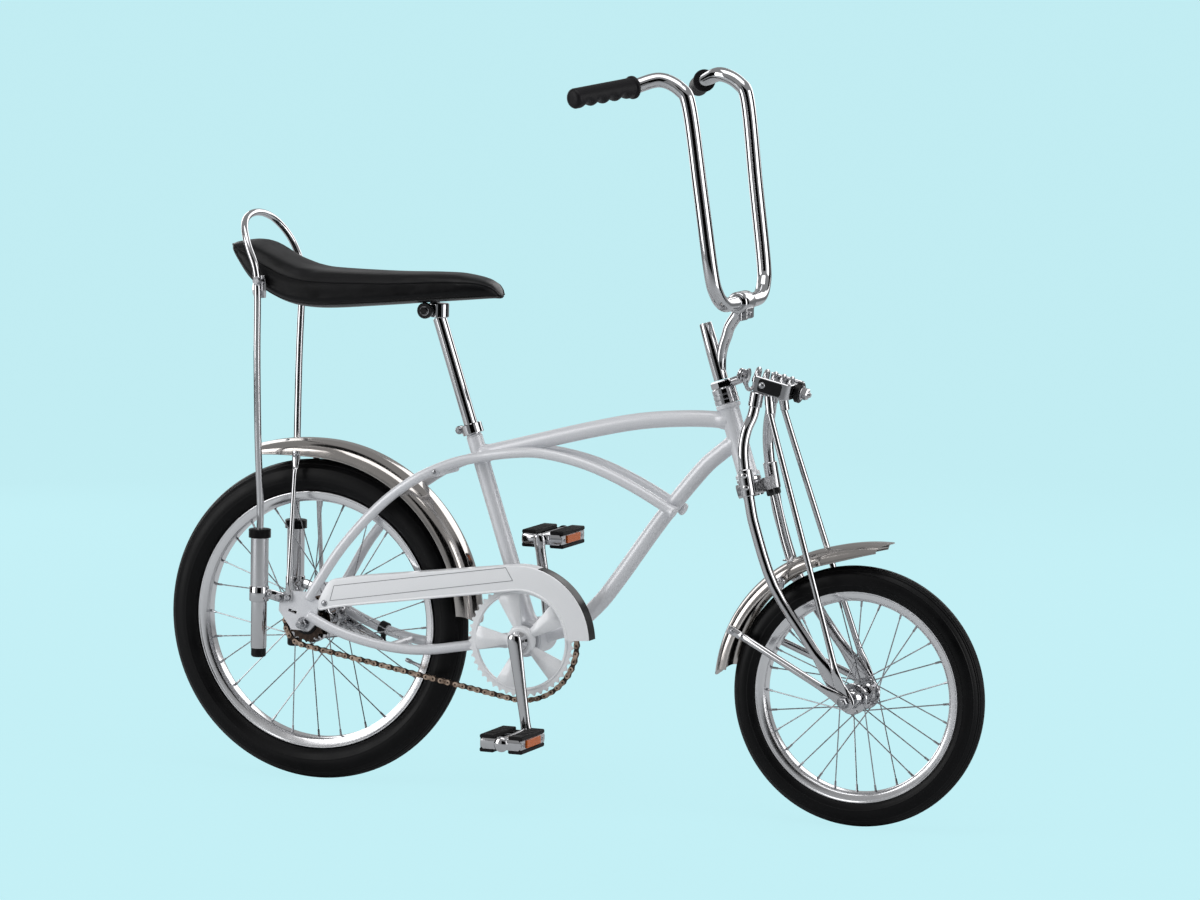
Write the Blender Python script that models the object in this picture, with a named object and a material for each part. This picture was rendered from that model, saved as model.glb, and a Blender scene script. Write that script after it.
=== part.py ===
"""A child's chopper bicycle: cantilever frame, springer fork, banana saddle, sissy bar and wire wheels.

Sizes are metres. X runs forward from the rear axle, Y to the rider's left and Z up from the ground.
The root empty then moves the whole bicycle so that the origin is where the rider sits on the saddle.
"""

import math

import bmesh
import bpy
from mathutils import Vector

# Clearances
GAP = 0.0003
RUNNING = 0.0006

# Wheels
WHEEL_BASE = 0.902
REAR_TYRE_RADIUS = 0.254
REAR_TYRE_WIDTH = 0.054
REAR_TYRE_HEIGHT = 0.050
REAR_RIM_RADIUS = REAR_TYRE_RADIUS - REAR_TYRE_HEIGHT
REAR_RIM_WIDTH = 0.036
FRONT_TYRE_RADIUS = 0.200
FRONT_TYRE_WIDTH = 0.045
FRONT_TYRE_HEIGHT = 0.0375
FRONT_RIM_RADIUS = FRONT_TYRE_RADIUS - FRONT_TYRE_HEIGHT
FRONT_RIM_WIDTH = 0.031
RIM_DEPTH = 0.016
RIM_WALL = 0.0025
RIM_BED = 0.0068
SPOKES = 28
SPOKE_RADIUS = 0.0012
AXLE_RADIUS = 0.005
REAR_HUB_HALF = 0.036
FRONT_HUB_HALF = 0.038

# Frame
HEAD_ANGLE = math.radians(72)
HEAD_TOP_X = 0.680
HEAD_TOP_Z = 0.634
HEAD_LENGTH = 0.116
HEAD_RADIUS = 0.0155
STEERER_RADIUS = 0.0125
TUBE_RADIUS = 0.0127
STAY_RADIUS = 0.008
BRACKET_X = 0.3655
BRACKET_Z = 0.252
BRACKET_RADIUS = 0.0275
BRACKET_HALF = 0.034
SEAT_ANGLE = math.radians(71.2)
SEAT_TUBE_TOP_Z = 0.563
TOP_TUBE_LOW = 0.531
POST_RADIUS = 0.0108
POST_TOP_Z = 0.742
DROPOUT_FACE = 0.0555
DROPOUT_PLATE = 0.005

# Drive
CHAIN_PITCH = 0.0127
CHAIN_LINE = -0.048
RING_TEETH = 46
SPROCKET_TEETH = 18
CHAIN_PIN_HEIGHT = 0.0088
CHAIN_OUTER_WIDTH = 0.0080
CHAIN_INNER_WIDTH = 0.0054
CRANK_LENGTH = 0.143
CRANK_LEAN = math.radians(9.3)
CRANK_ARM_HALF = 0.0062
GUARD_FACE = -(DROPOUT_FACE + DROPOUT_PLATE + GAP)
GUARD_SHEET = 0.0015
GUARD_ROOM = 0.0055
CRANK_ARM_Y = GUARD_SHEET - GUARD_FACE + GUARD_ROOM + CRANK_ARM_HALF
SPINDLE_RADIUS = 0.011
PEDAL_THREAD = 0.0065
PEDAL_LENGTH = 0.095
PEDAL_WIDTH = 0.068
PEDAL_THICK = 0.027

# Steering, bars and saddle
BAR_RADIUS = 0.0111
CLAMP_X = 0.6986
CLAMP_Z = 0.7906
GRIP_RADIUS = 0.0150
GRIP_LENGTH = 0.126
FORK_LEG_RADIUS = 0.0083
TRUSS_RADIUS = 0.0048
LEG_EYE_Y = 0.0605
LEG_EYE_HALF = 0.0025
EYE_HALF = 0.0018
TRUSS_EYE_Y = LEG_EYE_Y + LEG_EYE_HALF + GAP + EYE_HALF
BRACE_EYE_Y = TRUSS_EYE_Y + EYE_HALF + GAP + EYE_HALF
SISSY_RADIUS = 0.0055
SHOCK_Y = 0.067
SHOCK_X = -0.074
SHOCK_RADIUS = 0.014
SHOCK_TOP = 0.400
SHOCK_BOTTOM = 0.197
SADDLE_SEAT_X = 0.110
SADDLE_SEAT_Z = 0.808
FENDER_SHEET = 0.0014
REAR_FENDER_ROOM = 0.025
FRONT_FENDER_ROOM = 0.031

FINISHES = {
    # name: colour, roughness, metallic
    "silver_paint": ((0.62, 0.62, 0.65), 0.32, 0.55),
    "chrome": ((0.78, 0.78, 0.79), 0.12, 1.0),
    "black_rubber": ((0.012, 0.012, 0.014), 0.75, 0.0),
    "black_vinyl": ((0.014, 0.013, 0.016), 0.45, 0.0),
    "black_enamel": ((0.010, 0.010, 0.011), 0.35, 0.0),
    "bronze_steel": ((0.25, 0.18, 0.15), 0.42, 0.8),
}

AXIS_Y = Vector((0, 1, 0))
STEER_UP = Vector((-math.cos(HEAD_ANGLE), 0, math.sin(HEAD_ANGLE)))
STEER_FORWARD = Vector((math.sin(HEAD_ANGLE), 0, math.cos(HEAD_ANGLE)))
HEAD_TOP = Vector((HEAD_TOP_X, 0, HEAD_TOP_Z))
REAR_AXLE = Vector((0, 0, REAR_TYRE_RADIUS))
FRONT_AXLE = Vector((WHEEL_BASE, 0, FRONT_TYRE_RADIUS))
BRACKET = Vector((BRACKET_X, 0, BRACKET_Z))
CRANK_DOWN = Vector((math.sin(CRANK_LEAN), 0, -math.cos(CRANK_LEAN)))
RIGHT_PEDAL = BRACKET + CRANK_DOWN * CRANK_LENGTH
LEFT_PEDAL = BRACKET - CRANK_DOWN * CRANK_LENGTH
RIDER = Vector((SADDLE_SEAT_X, 0, SADDLE_SEAT_Z))
RING_PITCH_RADIUS = CHAIN_PITCH / (2 * math.sin(math.pi / RING_TEETH))
SPROCKET_PITCH_RADIUS = CHAIN_PITCH / (2 * math.sin(math.pi / SPROCKET_TEETH))

PIVOTS = {
    "frame": Vector((0, 0, 0)),
    "steering": HEAD_TOP,
    "front_wheel": FRONT_AXLE,
    "rear_wheel": REAR_AXLE,
    "rear_sprocket": REAR_AXLE,
    "crank": BRACKET,
    "pedal_right": RIGHT_PEDAL,
    "pedal_left": LEFT_PEDAL,
}
SIDES = (("right", -1), ("left", 1))


# Meshes, each a closed body in the bicycle's own frame


def loft(sections, closed=False):
    """A skin over equal sections of points, capped at both ends unless it closes on itself."""
    bm = bmesh.new()
    rings = [[bm.verts.new(point) for point in section] for section in sections]
    pairs = list(zip(rings, rings[1:]))
    if closed:
        pairs.append((rings[-1], rings[0]))
    for first, second in pairs:
        count = len(first)
        for i in range(count):
            j = (i + 1) % count
            bm.faces.new((first[i], first[j], second[j], second[i]))
    if not closed:
        bm.faces.new(rings[0])
        bm.faces.new(rings[-1])
    bmesh.ops.recalc_face_normals(bm, faces=bm.faces)
    return bm


def square_to(axis):
    """Two unit vectors that are square to the axis and to each other."""
    helper = Vector((0, 0, 1)) if abs(axis.z) < 0.9 else Vector((1, 0, 0))
    first = axis.cross(helper).normalized()
    return first, axis.cross(first).normalized()


def turned(profile, centre, axis, sides):
    """A profile of (distance along the axis, radius), turned; one that never meets radius 0 is a ring."""
    first, second = square_to(axis)
    hollow = all(radius > 0 for _, radius in profile)
    bm = bmesh.new()
    rings = []
    for along, radius in profile:
        middle = centre + axis * along
        if radius == 0:
            rings.append([bm.verts.new(middle)])
            continue
        ring = []
        for i in range(sides):
            angle = 2 * math.pi * i / sides
            out = first * math.cos(angle) + second * math.sin(angle)
            ring.append(bm.verts.new(middle + out * radius))
        rings.append(ring)
    pairs = list(zip(rings, rings[1:]))
    if hollow:
        pairs.append((rings[-1], rings[0]))
    for one, two in pairs:
        for i in range(sides):
            j = (i + 1) % sides
            if len(one) == 1:
                bm.faces.new((one[0], two[j], two[i]))
            elif len(two) == 1:
                bm.faces.new((one[i], one[j], two[0]))
            else:
                bm.faces.new((one[i], one[j], two[j], two[i]))
    bmesh.ops.recalc_face_normals(bm, faces=bm.faces)
    return bm


def rod(start, end, radius, sides=10):
    """A round bar between two points."""
    run = end - start
    length = run.length
    return turned([(0, 0), (0, radius), (length, radius), (length, 0)], start, run.normalized(), sides)


def through(rows, steps):
    """Rows of numbers on a smooth curve through the given rows, with so many steps between two of them."""
    rows = [tuple(row) for row in rows]
    first = tuple(2 * a - b for a, b in zip(rows[0], rows[1]))
    last = tuple(2 * a - b for a, b in zip(rows[-1], rows[-2]))
    padded = [first, *rows, last]
    result = []
    for i in range(1, len(padded) - 2):
        for k in range(steps):
            t = k / steps
            row = []
            for p0, p1, p2, p3 in zip(*padded[i - 1 : i + 3]):
                bend = 2 * p0 - 5 * p1 + 4 * p2 - p3
                twist = 3 * p1 - p0 - 3 * p2 + p3
                row.append(0.5 * (2 * p1 + (p2 - p0) * t + bend * t * t + twist * t**3))
            result.append(tuple(row))
    result.append(rows[-1])
    return result


def swept(rows, sides=8, side=AXIS_Y):
    """A bar along rows of x, y, z, half width towards the side vector and half depth square to it."""
    points = [Vector(row[:3]) for row in rows]
    sections = []
    for i, point in enumerate(points):
        ahead = points[min(i + 1, len(points) - 1)]
        behind = points[max(i - 1, 0)]
        tangent = (ahead - behind).normalized()
        side = (side - tangent * side.dot(tangent)).normalized()
        up = tangent.cross(side)
        wide, deep = rows[i][3], rows[i][4]
        section = []
        for k in range(sides):
            angle = 2 * math.pi * (k + 0.5) / sides
            section.append(point + side * wide * math.cos(angle) + up * deep * math.sin(angle))
        sections.append(section)
    return loft(sections)


def tube(points, radius, steps=2, sides=10, side=AXIS_Y):
    """A round tube of one radius on a smooth curve through the points."""
    rows = [(x, y, z, radius, radius) for x, y, z in points]
    return swept(through(rows, steps), sides, side)


def plate(outline, near, far):
    """A flat plate: an outline of (x, z) points between two places on Y."""
    return loft([[Vector((x, y, z)) for x, z in outline] for y in (near, far)])


def block(low, high):
    """A box between two corners."""
    (x0, y0, z0), (x1, y1, z1) = low, high
    return plate([(x0, z0), (x1, z0), (x1, z1), (x0, z1)], y0, y1)


def arc(centre_x, centre_z, radius, start, end, steps):
    """Points (x, z) on an arc; the angles are degrees from forward towards up."""
    points = []
    for i in range(steps + 1):
        angle = math.radians(start + (end - start) * i / steps)
        points.append((centre_x + radius * math.cos(angle), centre_z + radius * math.sin(angle)))
    return points


def grown(outline, distance):
    """An outline of (x, z) points with each edge pushed outwards by so much."""
    turn = sum(x0 * z1 - x1 * z0 for (x0, z0), (x1, z1) in zip(outline, outline[1:] + outline[:1]))
    hand = 1 if turn > 0 else -1
    result = []
    for i, (x, z) in enumerate(outline):
        normals = []
        for (x0, z0), (x1, z1) in ((outline[i - 1], (x, z)), ((x, z), outline[(i + 1) % len(outline)])):
            length = math.hypot(x1 - x0, z1 - z0)
            normals.append((hand * (z1 - z0) / length, hand * (x0 - x1) / length))
        (ax, az), (bx, bz) = normals
        share = distance / (1 + ax * bx + az * bz)
        result.append((x + (ax + bx) * share, z + (az + bz) * share))
    return result


# Objects


def clear_scene():
    for obj in list(bpy.data.objects):
        bpy.data.objects.remove(obj, do_unlink=True)


def make_finish(name):
    colour, roughness, metallic = FINISHES[name]
    found = bpy.data.materials.get(name)
    if found:
        return found
    finish = bpy.data.materials.new(name)
    finish.use_nodes = True
    shader = finish.node_tree.nodes["Principled BSDF"]
    shader.inputs["Base Color"].default_value = (*colour, 1)
    shader.inputs["Roughness"].default_value = roughness
    shader.inputs["Metallic"].default_value = metallic
    return finish


def make_pivots():
    """The root empty at the rider's place and one empty on each joint's axis."""
    root = bpy.data.objects.new("bicycle", None)
    root.location = -RIDER
    bpy.context.scene.collection.objects.link(root)
    pivots = {}
    for name, place in PIVOTS.items():
        pivot = bpy.data.objects.new(name + "_pivot", None)
        pivot.location = place
        pivot.parent = root
        bpy.context.scene.collection.objects.link(pivot)
        pivots[name] = pivot
    return pivots


def mesh_object(name, bm):
    mesh = bpy.data.meshes.new(name)
    bm.to_mesh(mesh)
    bm.free()
    obj = bpy.data.objects.new(name, mesh)
    bpy.context.scene.collection.objects.link(obj)
    return obj


def place(pivots, name, bm, finish, body="frame", smooth=35):
    """A named piece on its body: the mesh stays in the bicycle's frame, under the pivot of the joint."""
    obj = mesh_object(name, bm)
    obj.data.materials.append(make_finish(finish))
    if smooth:
        obj.data.shade_smooth()
        obj.data.set_sharp_from_angle(angle=math.radians(smooth))
    obj.parent = pivots[body]
    obj.location = -PIVOTS[body]
    return obj


def combine(obj, operation, tools):
    """Boolean modifiers on a piece, with hidden helpers that ride beside it."""
    for bm in tools:
        helper = mesh_object(obj.name + "_tool", bm)
        helper.parent = obj.parent
        helper.location = obj.location
        helper.hide_render = True
        helper.display_type = "WIRE"
        modifier = obj.modifiers.new(operation.lower(), "BOOLEAN")
        modifier.operation = operation
        modifier.solver = "EXACT"
        modifier.object = helper
    return obj


def carve(obj, *tools):
    return combine(obj, "DIFFERENCE", tools)


def weld(obj, *tools):
    return combine(obj, "UNION", tools)


# Places that several pieces share


def on_steering(up, forward=0.0, side=0.0):
    """A point measured up the steering axis from the top of the head tube."""
    return HEAD_TOP + STEER_UP * up + STEER_FORWARD * forward + AXIS_Y * side


def on_seat_tube(z):
    """The point of the seat tube's centre line at a height."""
    return Vector((BRACKET_X - (z - BRACKET_Z) / math.tan(SEAT_ANGLE), 0, z))


def seat_tube_cylinder(radius):
    return rod(on_seat_tube(BRACKET_Z - 0.02), on_seat_tube(SEAT_TUBE_TOP_Z + 0.03), radius, 12)


def head_tube_cylinder(radius):
    return rod(on_steering(0.02), on_steering(-HEAD_LENGTH - 0.02), radius, 12)


def bracket_cylinder(radius):
    return rod(BRACKET - AXIS_Y * 0.08, BRACKET + AXIS_Y * 0.08, radius, 12)


DROPOUT_SHAPE = [
    # x, height above the axle
    (-0.043, 0.018),
    (-0.041, 0.040),
    (-0.030, 0.050),
    (0.008, 0.050),
    (0.021, 0.0390),
    (0.040, 0.0385),
    (0.045, 0.0355),
    (0.040, 0.029),
    (0.0235, 0.027),
    (0.022, 0.002),
    (0.010, -0.011),
    (-0.020, -0.011),
]
DROPOUT_OUTLINE = [(x, REAR_AXLE.z + height) for x, height in DROPOUT_SHAPE]
DOWN_TUBE_LINE = [
    (0.702, 0.583),
    (0.669, 0.557),
    (0.6385, 0.528),
    (0.576, 0.450),
    (0.506, 0.351),
    (0.4715, 0.308),
    (0.428, 0.272),
    (BRACKET_X, BRACKET_Z),
]
TOP_TUBE_LINE = [
    (0.688, 0.609),
    (0.620, 0.608),
    (0.537, 0.599),
    (0.448, 0.579),
    (0.340, 0.550),
    (BRACKET_X - (TOP_TUBE_LOW - BRACKET_Z) / math.tan(SEAT_ANGLE), TOP_TUBE_LOW),
]
CANTILEVER_LINE = [
    # x, y, z
    (0.008, 0.0612, REAR_AXLE.z + 0.039),
    (0.026, 0.0608, REAR_AXLE.z + 0.068),
    (0.063, 0.053, 0.380),
    (0.118, 0.0462, 0.443),
    (0.175, 0.0445, 0.488),
    (0.230, 0.034, 0.516),
    (0.276, 0.0225, 0.529),
    (0.330, 0.0225, 0.539),
    (0.385, 0.0225, 0.542),
    (0.458, 0.0225, 0.529),
    (0.530, 0.0225, 0.502),
    (0.606, 0.0215, 0.463),
]
CHAIN_STAY_LINE = [
    # x, y, z
    (0.008, 0.0612, REAR_AXLE.z + 0.014),
    (0.050, 0.0600, REAR_AXLE.z - 0.005),
    (0.099, 0.054, 0.234),
    (0.152, 0.047, 0.225),
    (0.204, 0.0426, 0.225),
    (0.272, 0.0346, 0.236),
    (BRACKET_X - 0.012, 0.024, BRACKET_Z - 0.003),
]


# Frame pieces


def make_head_tube(pivots):
    flare = HEAD_RADIUS + 0.0035
    bore = STEERER_RADIUS + RUNNING
    profile = [
        (0, flare),
        (-0.006, flare),
        (-0.008, HEAD_RADIUS),
        (-HEAD_LENGTH + 0.008, HEAD_RADIUS),
        (-HEAD_LENGTH + 0.006, flare),
        (-HEAD_LENGTH, flare),
        (-HEAD_LENGTH, bore),
        (0, bore),
    ]
    place(pivots, "head_tube", turned(profile, HEAD_TOP, STEER_UP, 12), "silver_paint")


def make_main_tubes(pivots):
    head = HEAD_RADIUS + GAP
    top = place(
        pivots,
        "top_tube",
        tube([(x, 0, z) for x, z in TOP_TUBE_LINE], TUBE_RADIUS, 2, 8),
        "silver_paint",
    )
    carve(top, head_tube_cylinder(head), seat_tube_cylinder(TUBE_RADIUS + GAP))
    down = place(
        pivots,
        "down_tube",
        tube([(x, 0, z) for x, z in DOWN_TUBE_LINE], TUBE_RADIUS, 1, 10),
        "silver_paint",
    )
    carve(down, head_tube_cylinder(head), bracket_cylinder(BRACKET_RADIUS + GAP))
    post_bore = POST_RADIUS + GAP
    seat = place(
        pivots,
        "seat_tube",
        rod(BRACKET, on_seat_tube(SEAT_TUBE_TOP_Z), TUBE_RADIUS, 12),
        "silver_paint",
    )
    carve(
        seat,
        bracket_cylinder(BRACKET_RADIUS + GAP),
        rod(on_seat_tube(SEAT_TUBE_TOP_Z - 0.09), on_seat_tube(SEAT_TUBE_TOP_Z + 0.01), post_bore, 12),
    )


def make_bottom_bracket(pivots):
    cup = BRACKET_RADIUS - 0.002
    bore = SPINDLE_RADIUS + 0.0052
    seat = SPINDLE_RADIUS + RUNNING
    deep = BRACKET_HALF - 0.006
    profile = [
        (-BRACKET_HALF - 0.003, cup),
        (-BRACKET_HALF, cup),
        (-BRACKET_HALF, BRACKET_RADIUS),
        (BRACKET_HALF, BRACKET_RADIUS),
        (BRACKET_HALF, cup),
        (BRACKET_HALF + 0.003, cup),
        (BRACKET_HALF + 0.003, seat),
        (deep, seat),
        (deep, bore),
        (-deep, bore),
        (-deep, seat),
        (-BRACKET_HALF - 0.003, seat),
    ]
    place(pivots, "bottom_bracket", turned(profile, BRACKET, AXIS_Y, 12), "silver_paint")


def make_stays(pivots):
    for name, hand in SIDES:
        slot_near = hand * (DROPOUT_FACE - GAP)
        slot_far = hand * (DROPOUT_FACE + DROPOUT_PLATE + GAP)
        slot = grown(DROPOUT_OUTLINE, 2 * GAP)
        arched = place(
            pivots,
            "cantilever_stay_" + name,
            tube([(x, hand * y, z) for x, y, z in CANTILEVER_LINE], STAY_RADIUS, 1, 8),
            "silver_paint",
        )
        down = [(x, 0, z) for x, z in DOWN_TUBE_LINE]
        carve(
            arched,
            plate(slot, slot_near, slot_far),
            seat_tube_cylinder(TUBE_RADIUS + GAP),
            tube(down, TUBE_RADIUS + GAP),
        )
        lower = place(
            pivots,
            "chain_stay_" + name,
            tube([(x, hand * y, z) for x, y, z in CHAIN_STAY_LINE], STAY_RADIUS, 1, 8),
            "silver_paint",
        )
        carve(lower, plate(slot, slot_near, slot_far), bracket_cylinder(BRACKET_RADIUS + GAP))


def make_dropouts(pivots):
    for name, hand in SIDES:
        near = hand * DROPOUT_FACE
        far = hand * (DROPOUT_FACE + DROPOUT_PLATE)
        end = place(pivots, "dropout_" + name, plate(DROPOUT_OUTLINE, near, far), "silver_paint", smooth=0)
        axle = REAR_AXLE + AXIS_Y * hand * 0.04
        carve(
            end,
            rod(axle, axle + AXIS_Y * hand * 0.04, AXLE_RADIUS + GAP, 12),
            swept(
                [
                    (-0.026, (near + far) / 2, REAR_AXLE.z + 0.020, DROPOUT_PLATE, 0.003),
                    (-0.012, (near + far) / 2, REAR_AXLE.z + 0.016, DROPOUT_PLATE, 0.003),
                ],
                8,
            ),
        )


def make_rear_axle(pivots):
    nut = 0.0088
    outer = DROPOUT_FACE + DROPOUT_PLATE + GAP
    end = 0.080
    profile = [(-end, 0), (-end, AXLE_RADIUS), (-outer - 0.009, AXLE_RADIUS), (-outer - 0.009, nut)]
    profile += [(-outer, nut), (-outer, AXLE_RADIUS), (outer, AXLE_RADIUS), (outer, nut)]
    profile += [(outer + 0.009, nut), (outer + 0.009, AXLE_RADIUS), (end, AXLE_RADIUS), (end, 0)]
    place(pivots, "rear_axle", turned(profile, REAR_AXLE, AXIS_Y, 10), "chrome", smooth=20)


def make_seat_post(pivots):
    bottom = SEAT_TUBE_TOP_Z - 0.075
    post = rod(on_seat_tube(bottom), on_seat_tube(POST_TOP_Z), POST_RADIUS, 12)
    place(pivots, "seat_post", post, "chrome")
    axis = (on_seat_tube(1) - on_seat_tube(0)).normalized()
    collar_bore = POST_RADIUS + GAP
    ring = [(0, 0.0165), (0.016, 0.0165), (0.016, collar_bore), (0, collar_bore)]
    base = on_seat_tube(SEAT_TUBE_TOP_Z) + axis * GAP
    collar = place(pivots, "seat_collar", turned(ring, base, axis, 14), "chrome")
    ear = base + axis * 0.008
    weld(
        collar,
        rod(ear + Vector((-0.020, -0.011, -0.003)), ear + Vector((-0.020, 0.011, -0.003)), 0.006, 8),
    )


def make_saddle_clamp(pivots):
    top = on_seat_tube(POST_TOP_Z)
    cap_radius = POST_RADIUS + 0.004
    under = saddle_bottom(top.x - cap_radius) - GAP
    cap_end = 0.0035
    seat = Vector((top.x, 0, POST_TOP_Z + GAP + cap_end))
    height = under - seat.z
    profile = [(0, 0), (0, cap_radius), (height, cap_radius), (height, 0)]
    clamp = place(pivots, "saddle_clamp", turned(profile, seat, Vector((0, 0, 1)), 12), "black_enamel")
    knob = Vector((top.x - 0.016, 0, seat.z + 0.0072))
    weld(
        clamp,
        rod(knob - AXIS_Y * 0.026, knob + AXIS_Y * 0.026, 0.0095, 10),
        block((top.x - 0.026, -0.016, seat.z), (top.x + 0.004, 0.016, seat.z + 0.008)),
    )


SADDLE_SECTIONS = [
    # x, top z, bottom z, half width
    (-0.141, 0.8475, 0.8405, 0.044),
    (-0.135, 0.8500, 0.8330, 0.056),
    (-0.122, 0.8490, 0.8160, 0.066),
    (-0.100, 0.8430, 0.7870, 0.0725),
    (-0.075, 0.8310, 0.7700, 0.0745),
    (-0.047, 0.8190, 0.7570, 0.075),
    (-0.015, 0.8105, 0.7505, 0.075),
    (0.030, SADDLE_SEAT_Z, 0.7500, 0.073),
    (0.120, SADDLE_SEAT_Z, 0.7585, 0.065),
    (0.195, 0.8105, 0.7665, 0.054),
    (0.254, 0.8105, 0.7725, 0.042),
    (0.283, 0.8055, 0.7755, 0.031),
    (0.298, 0.7950, 0.7765, 0.020),
    (0.306, 0.7810, 0.7745, 0.010),
]


def on_line(line, x):
    """The point and the direction of a line of points at a place along the bicycle."""
    for start, end in zip(line, line[1:]):
        if start[0] <= x <= end[0]:
            first, last = Vector(start), Vector(end)
            return first.lerp(last, (x - first.x) / (last.x - first.x)), (last - first).normalized()
    raise ValueError("the line doesn't reach there")


def saddle_bottom(x):
    """The height of the saddle's base at a place along it."""
    for (x0, _, low0, _), (x1, _, low1, _) in zip(SADDLE_SECTIONS, SADDLE_SECTIONS[1:]):
        if x0 <= x <= x1:
            return low0 + (low1 - low0) * (x - x0) / (x1 - x0)
    raise ValueError("no saddle there")


def make_saddle(pivots):
    sections = []
    for x, top, bottom, half in SADDLE_SECTIONS:
        height = top - bottom
        outline = [
            # share of the half width, share of the height
            (-0.80, 0.0),
            (-1.00, 0.30),
            (-1.00, 0.64),
            (-0.84, 0.87),
            (-0.40, 1.0),
            (0.40, 1.0),
            (0.84, 0.87),
            (1.00, 0.64),
            (1.00, 0.30),
            (0.80, 0.0),
        ]
        sections.append([Vector((x, half * across, bottom + height * up)) for across, up in outline])
    place(pivots, "saddle", loft(sections), "black_vinyl", smooth=60)


SISSY_LINE = [
    # x, y, z
    (-0.119, 0.0, 0.892),
    (-0.117, 0.036, 0.887),
    (-0.109, 0.062, 0.873),
    (-0.095, 0.0795, 0.847),
    (-0.080, 0.0825, 0.812),
    (-0.076, 0.0820, 0.770),
    (-0.0773, 0.0780, 0.670),
    (-0.0765, 0.0725, 0.540),
    (SHOCK_X, SHOCK_Y, SHOCK_TOP + 0.04),
    (SHOCK_X, SHOCK_Y, SHOCK_TOP + GAP),
]


def mirrored(half):
    """A line that starts on the middle plane, run back from its mirror image as well."""
    return [(x, -y, z) for x, y, z in reversed(half[1:])] + list(half)


def make_sissy_bar(pivots):
    bar = tube(mirrored(SISSY_LINE), SISSY_RADIUS, 2, 6, Vector((1, 0, 0)))
    place(pivots, "sissy_bar", bar, "chrome")


def make_shocks(pivots):
    for name, hand in SIDES:
        foot = Vector((SHOCK_X, hand * SHOCK_Y, SHOCK_BOTTOM))
        height = SHOCK_TOP - SHOCK_BOTTOM
        profile = [
            (0, 0),
            (0, 0.010),
            (0.002, 0.0118),
            (0.015, 0.0118),
            (0.0155, 0.0125),
            (0.090, 0.0125),
            (0.090, 0.0155),
            (0.112, 0.0155),
            (0.112, SHOCK_RADIUS),
            (height - 0.014, SHOCK_RADIUS),
            (height - 0.014, 0.0178),
            (height, 0.0178),
            (height, 0),
        ]
        shock = place(pivots, "shock_" + name, turned(profile, foot, Vector((0, 0, 1)), 10), "chrome")
        outer = DROPOUT_FACE + DROPOUT_PLATE + GAP
        arm = [
            (SHOCK_X + 0.003, hand * SHOCK_Y, REAR_AXLE.z + 0.0440, 0.0032, 0.0072),
            (SHOCK_X + 0.020, hand * (outer + 0.0055), REAR_AXLE.z + 0.0430, 0.003, 0.008),
            (SHOCK_X + 0.029, hand * (outer + 0.003), REAR_AXLE.z + 0.0405, 0.003, 0.008),
            (SHOCK_X + 0.040, hand * (outer + 0.003), REAR_AXLE.z + 0.0380, 0.003, 0.008),
        ]
        weld(shock, swept(arm, 8))


def fender_shell(centre, radius, start, end, steps, half_width, skirt, flare_start, flare_end, tongue):
    """A rolled sheet over a wheel, crowned and skirted; its ends are flared and drawn out in the middle."""
    sheet = FENDER_SHEET
    outer = [
        # share of the half width, drop below the crown
        (-1.0, skirt),
        (-1.0, 0.45 * skirt),
        (-0.72, 0.10 * skirt),
        (-0.36, 0.0),
        (0.36, 0.0),
        (0.72, 0.10 * skirt),
        (1.0, 0.45 * skirt),
        (1.0, skirt),
    ]
    sections = []
    for i in range(steps + 1):
        share = i / steps
        lift = flare_start * max(0, 1 - share * steps / 3) ** 2
        lift += flare_end * max(0, 1 - (1 - share) * steps / 3) ** 2
        drawn = {0: -tongue, steps: tongue}.get(i, 0) / radius

        def point(across, drop, half):
            angle = math.radians(start + (end - start) * share) + drawn * (1 - across * across)
            out = Vector((math.cos(angle), 0, math.sin(angle)))
            return centre + out * (radius + lift - drop) + AXIS_Y * across * half

        section = [point(across, drop, half_width) for across, drop in outer]
        for across, drop in reversed(outer):
            inner_drop = drop + (sheet if drop < skirt else 0)
            inner_half = half_width - sheet if abs(across) == 1 else half_width
            section.append(point(across, inner_drop, inner_half))
        sections.append(section)
    return loft(sections)


REAR_FENDER = {
    "centre": REAR_AXLE + Vector((-0.002, 0, 0.008)),
    "radius": REAR_TYRE_RADIUS + REAR_FENDER_ROOM,
    "start": 4,
    "end": 109,
    "steps": 12,
    "half_width": 0.036,
    "skirt": 0.026,
    "flare_start": 0.0,
    "flare_end": 0.006,
    "tongue": 0.014,
}
FRONT_FENDER = {
    "centre": FRONT_AXLE,
    "radius": FRONT_TYRE_RADIUS + FRONT_FENDER_ROOM,
    "start": 82,
    "end": 172,
    "steps": 10,
    "half_width": 0.031,
    "skirt": 0.023,
    "flare_start": 0.012,
    "flare_end": 0.0,
    "tongue": 0.016,
}


def on_skirt(fender, angle, inside):
    """A point so many degrees round a fender and so far under its crown, on the middle plane."""
    turn = math.radians(angle)
    return fender["centre"] + Vector((math.cos(turn), 0, math.sin(turn))) * (fender["radius"] - inside)


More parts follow.
